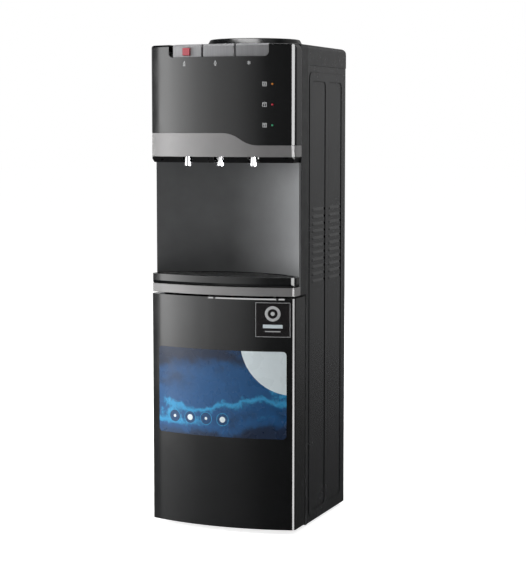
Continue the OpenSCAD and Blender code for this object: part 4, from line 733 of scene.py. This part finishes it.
class DISPENSER_OT_prints(bpy.types.Operator):
    """Print the three symbols under the keys and the three beside the lamps"""
    bl_idname = "dispenser.prints"
    bl_label = "Printed symbols"

    def execute(self, context):
        ink = self.ink()
        line = PRINT_LINE
        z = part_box("key_hot")[0].z - KEY_PRINT_DROP
        hot, normal, cold = ((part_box(key)[0].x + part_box(key)[1].x) / 2 - KEY_PRINT_SHIFT
                             for key in ("key_hot", "key_normal", "key_cold"))
        flame = [symbol_ring(hot, z - MM, 2.6 * MM, line, tip=3.4 * MM, lean=0.9 * MM),
                 symbol_stroke(hot, z - 5 * MM, 6 * MM, line)]
        print_symbol("print_flame", flame, ink)
        drop = [symbol_ring(normal, z - 1.2 * MM, 2.8 * MM, line, tip=3.4 * MM),
                symbol_stroke(normal, z - 5.4 * MM, 3 * MM, line)]
        print_symbol("print_drop", drop, ink)
        snow = [symbol_stroke(cold, z - MM, line, 7.6 * MM, turn) for turn in (0, math.pi / 3, -math.pi / 3)]
        print_symbol("print_snow", snow, ink)
        low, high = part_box("indicator_lenses")
        x = low.x - LAMP_PRINT_SHIFT
        radius = (high.x - low.x) / 2
        for i, name in enumerate(("low", "middle", "high")):
            z = low.z + radius + (high.z - low.z - 2 * radius) * i / (len(LAMPS) - 1)
            square = symbol_ring(x, z, SQUARE_R, line, points=4)
            self.turn_square(square, x, z)
            rises = (1.6 * MM,) if name == "middle" else (1.6 * MM, -1.6 * MM)
            bars = [symbol_stroke(x, z + rise, SQUARE_BAR, line) for rise in rises]
            bars += [symbol_stroke(x, z, line, SQUARE_BAR)]
            print_symbol("print_lamp_" + name, [square] + bars, ink)
        return {"FINISHED"}

    def turn_square(self, piece, x, z):
        """Stands a four-pointed outline on its side."""
        choose(piece)
        bpy.ops.object.mode_set(mode="EDIT")
        bpy.ops.mesh.select_all(action="SELECT")
        bpy.ops.transform.rotate(value=math.pi / 4, orient_axis="Y", center_override=(x, 0, z))
        bpy.ops.object.mode_set(mode="OBJECT")

    def ink(self):
        """Pad-printing ink, light grey and a little uneven over 1.5 mm."""
        material, tree, shader, place = new_material("Pad-printing ink, light grey")
        full = hex_colour(settings()[1].print_grey)
        patch = add(tree, "ShaderNodeTexNoise", Vector=place, Scale=650.0, Detail=2.0)
        dim = [c * 0.8 for c in full[:3]] + [1]
        join(tree, (ramp(tree, (patch, 0), [(0.3, dim), (0.7, full)]), 0), shader, "Base Color")
        gloss = ramp(tree, (patch, 0), [(0.3, 0.4), (0.7, 0.5)])
        join(tree, (gloss, 0), shader, "Roughness")
        return material


class DISPENSER_OT_lamps(bpy.types.Operator):
    """Make the three lit indicator lenses"""
    bl_idname = "dispenser.lamps"
    bl_label = "Indicator lamps"

    def execute(self, context):
        sizes = settings()[0]
        low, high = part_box("indicator_lenses")
        x = (low.x + high.x) / 2
        r = sizes.lens_d / 2
        half = (high.x - low.x) / 2
        bottom, top = low.z + half, high.z - half
        for i, (name, tone) in enumerate(LAMPS):
            z = bottom + (top - bottom) * i / (len(LAMPS) - 1)
            deselect()
            bpy.ops.mesh.primitive_cylinder_add(vertices=32, radius=r, depth=high.y - low.y,
                                                location=(x, (low.y + high.y) / 2, z),
                                                rotation=(math.pi / 2, 0, 0))
            lens = bpy.context.object
            lens.name = "lamp_" + name
            bpy.ops.object.transform_apply(location=True, rotation=True, scale=True)
            bpy.ops.object.mode_set(mode="EDIT")
            bpy.ops.mesh.select_all(action="DESELECT")
            bpy.ops.object.mode_set(mode="OBJECT")
            front = min(lens.data.polygons, key=lambda f: f.center.y)
            front.select = True
            bpy.ops.object.mode_set(mode="EDIT")
            bpy.ops.mesh.select_mode(type="FACE")
            bpy.ops.mesh.bevel(offset=r * 0.45, segments=5, affect="EDGES")
            bpy.ops.object.mode_set(mode="OBJECT")
            bpy.ops.object.shade_smooth()
            dress(lens, self.lens_material(name, tone))
            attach(lens, "cabinet")
            if i == 0:
                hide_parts("indicator_lenses")
        return {"FINISHED"}

    def lens_material(self, name, tone):
        """Tinted acrylic lens with a lamp behind it: the colour glows, brighter in patches of the diffuser."""
        material, tree, shader, place = new_material("Acrylic lens, lit " + name)
        grain = add(tree, "ShaderNodeTexNoise", Vector=place, Scale=900.0, Detail=1.0)
        full = hex_colour(tone)
        dim = [c * 0.6 for c in full[:3]] + [1]
        tint = ramp(tree, (grain, 0), [(0.3, dim), (0.7, full)])
        join(tree, (tint, 0), shader, "Base Color")
        join(tree, (tint, 0), shader, "Emission Color")
        shader.inputs["Emission Strength"].default_value = 0.12
        shader.inputs["Roughness"].default_value = 0.15
        return material


class DISPENSER_OT_studio(bpy.types.Operator):
    """Set up the camera, the pale floor and the soft lights"""
    bl_idname = "dispenser.studio"
    bl_label = "Studio"

    def execute(self, context):
        scene = context.scene
        scene.view_settings.view_transform = "Standard"
        eye, aim = Vector(CAMERA_EYE), Vector(CAMERA_AIM)
        lens = bpy.data.cameras.new("camera")
        lens.lens = CAMERA_LENS
        lens.sensor_width = 36
        lens.shift_y = CAMERA_SHIFT
        camera = bpy.data.objects.new("camera", lens)
        camera.location = eye
        camera.rotation_euler = (aim - eye).to_track_quat("-Z", "Y").to_euler()
        scene.collection.objects.link(camera)
        scene.camera = camera
        self.floor()
        for softbox in SOFTBOXES:
            self.light(scene, *softbox)
        self.world(scene)
        return {"FINISHED"}

    def light(self, scene, name, place, size, power):
        lamp = bpy.data.lights.new(name, "AREA")
        lamp.shape = "SQUARE"
        lamp.size = size
        lamp.energy = power
        obj = bpy.data.objects.new(name, lamp)
        obj.location = place
        obj.rotation_euler = (Vector((0, 0, 0.5)) - Vector(place)).to_track_quat("-Z", "Y").to_euler()
        obj.visible_camera = False
        obj.visible_glossy = False
        scene.collection.objects.link(obj)

    def floor(self):
        """White paper floor: it glows evenly for the camera and behind clear pieces, and no piece mirrors it."""
        deselect()
        bpy.ops.mesh.primitive_circle_add(vertices=96, radius=30, fill_type="NGON", location=(0, 0, 0))
        floor = bpy.context.object
        floor.name = "floor"
        material, tree, shader, _ = new_material("Paper floor, white")
        path = add(tree, "ShaderNodeLightPath")
        seen = calc(tree, "MAXIMUM", (path, "Is Camera Ray"), (path, "Is Glossy Ray"))
        both = calc(tree, "MAXIMUM", (seen, 0), (path, "Is Transmission Ray"))
        glow = calc(tree, "MULTIPLY", (both, 0), 0.8)
        shader.inputs["Base Color"].default_value = hex_colour("#e4e4e4")
        shader.inputs["Roughness"].default_value = 0.9
        shader.inputs["Specular IOR Level"].default_value = 0.0
        shader.inputs["Emission Color"].default_value = (1, 1, 1, 1)
        join(tree, (glow, 0), shader, "Emission Strength")
        dress(floor, material)
        floor.visible_glossy = False

    def world(self, scene):
        """Even light all round; what shines mirrors a dark studio with soft panels left and right and a lamp above."""
        world = bpy.data.worlds.new("studio")
        scene.world = world
        world.use_nodes = True
        tree = world.node_tree
        tree.nodes.clear()
        out = add(tree, "ShaderNodeOutputWorld")
        path = add(tree, "ShaderNodeLightPath")
        way = add(tree, "ShaderNodeTexCoord")
        split = add(tree, "ShaderNodeSeparateXYZ", Vector=(way, "Generated"))
        front = calc(tree, "MULTIPLY", (split, 1), -1.0)
        turn = calc(tree, "ARCTAN2", (split, 0), (front, 0))
        compass = calc(tree, "MULTIPLY_ADD", (turn, 0), 0.5 / math.pi, 0.5)
        level = calc(tree, "ADD", (split, 2), 0.5)

        def by_turn(stops):
            return ramp(tree, (compass, 0), [(0.5 + degrees / 360, strength) for degrees, strength in stops])

        def by_height(stops):
            return ramp(tree, (level, 0), [(0.5 + height, strength) for height, strength in stops])

        left = calc(tree, "MULTIPLY", (by_turn(LEFT_ROUND), 0), (by_height(LEFT_HEIGHT), 0))
        right = calc(tree, "MULTIPLY", (by_turn(RIGHT_ROUND), 0), (by_height(RIGHT_HEIGHT), 0))
        # behind the object the room falls from dim at eye level to dark at the floor
        rear = calc(tree, "MULTIPLY", (by_turn(REAR_ROUND), 0), (by_height(REAR_HEIGHT), 0))
        sides = calc(tree, "MULTIPLY_ADD", (right, 0), RIGHT_GAIN, (left, 0))
        sides = calc(tree, "ADD", (sides, 0), (rear, 0))
        # a long lamp high in front, which draws a bright line along edges that lean back
        lamp = calc(tree, "MULTIPLY", (ramp(tree, (split, 2), LAMP_HEIGHT), 0), (by_turn(LAMP_ROUND), 0))
        over = calc(tree, "MULTIPLY_ADD", (lamp, 0), LAMP_GAIN, (ramp(tree, (split, 2), SKY_HEIGHT), 0))
        panels = calc(tree, "MAXIMUM", (sides, 0), (over, 0))
        strength = calc(tree, "MULTIPLY", (panels, 0), MIRRORED_GAIN)
        seen = calc(tree, "MAXIMUM", (path, "Is Camera Ray"), (path, "Is Transmission Ray"))
        plain = add(tree, "ShaderNodeMix", {"data_type": "FLOAT"}, i0=(seen, 0), i2=ROOM_LIGHT, i3=1.0)
        shine = add(tree, "ShaderNodeMix", {"data_type": "FLOAT"}, i0=(path, "Is Glossy Ray"), i2=(plain, 0),
                    i3=(strength, 0))
        back = add(tree, "ShaderNodeBackground", Color=(1, 1, 1, 1), Strength=(shine, 0))
        tree.links.new(back.outputs[0], out.inputs[0])


class DISPENSER_PT_panel(bpy.types.Panel):
    bl_idname = "DISPENSER_PT_panel"
    bl_label = "Water dispenser"
    bl_space_type = "VIEW_3D"
    bl_region_type = "UI"
    bl_category = "Dispenser"

    def draw(self, context):
        sizes, colours = settings()
        for group in (sizes, colours):
            for name in type(group).__annotations__:
                self.layout.prop(group, name)
        for operator in OPERATORS:
            self.layout.operator(operator.bl_idname)


OPERATORS = (DISPENSER_OT_finishes, DISPENSER_OT_rounded, DISPENSER_OT_louvre_shade_dots, DISPENSER_OT_springs,
             DISPENSER_OT_door_films, DISPENSER_OT_lamps, DISPENSER_OT_prints, DISPENSER_OT_studio)
CLASSES = (DispenserSizes, DispenserColours) + OPERATORS + (DISPENSER_PT_panel,)


def register():
    for cls in CLASSES:
        bpy.utils.register_class(cls)
    bpy.types.Scene.dispenser_sizes = PointerProperty(type=DispenserSizes)
    bpy.types.Scene.dispenser_colours = PointerProperty(type=DispenserColours)


def unregister():
    del bpy.types.Scene.dispenser_colours
    del bpy.types.Scene.dispenser_sizes
    for cls in reversed(CLASSES):
        bpy.utils.unregister_class(cls)


def main():
    register()
    bpy.ops.dispenser.finishes()
    bpy.ops.dispenser.rounded()
    bpy.ops.dispenser.louvre_eyes()
    bpy.ops.dispenser.springs()
    bpy.ops.dispenser.door_films()
    bpy.ops.dispenser.lamps()
    bpy.ops.dispenser.prints()
    bpy.ops.dispenser.studio()


if __name__ == "__main__":
    main()
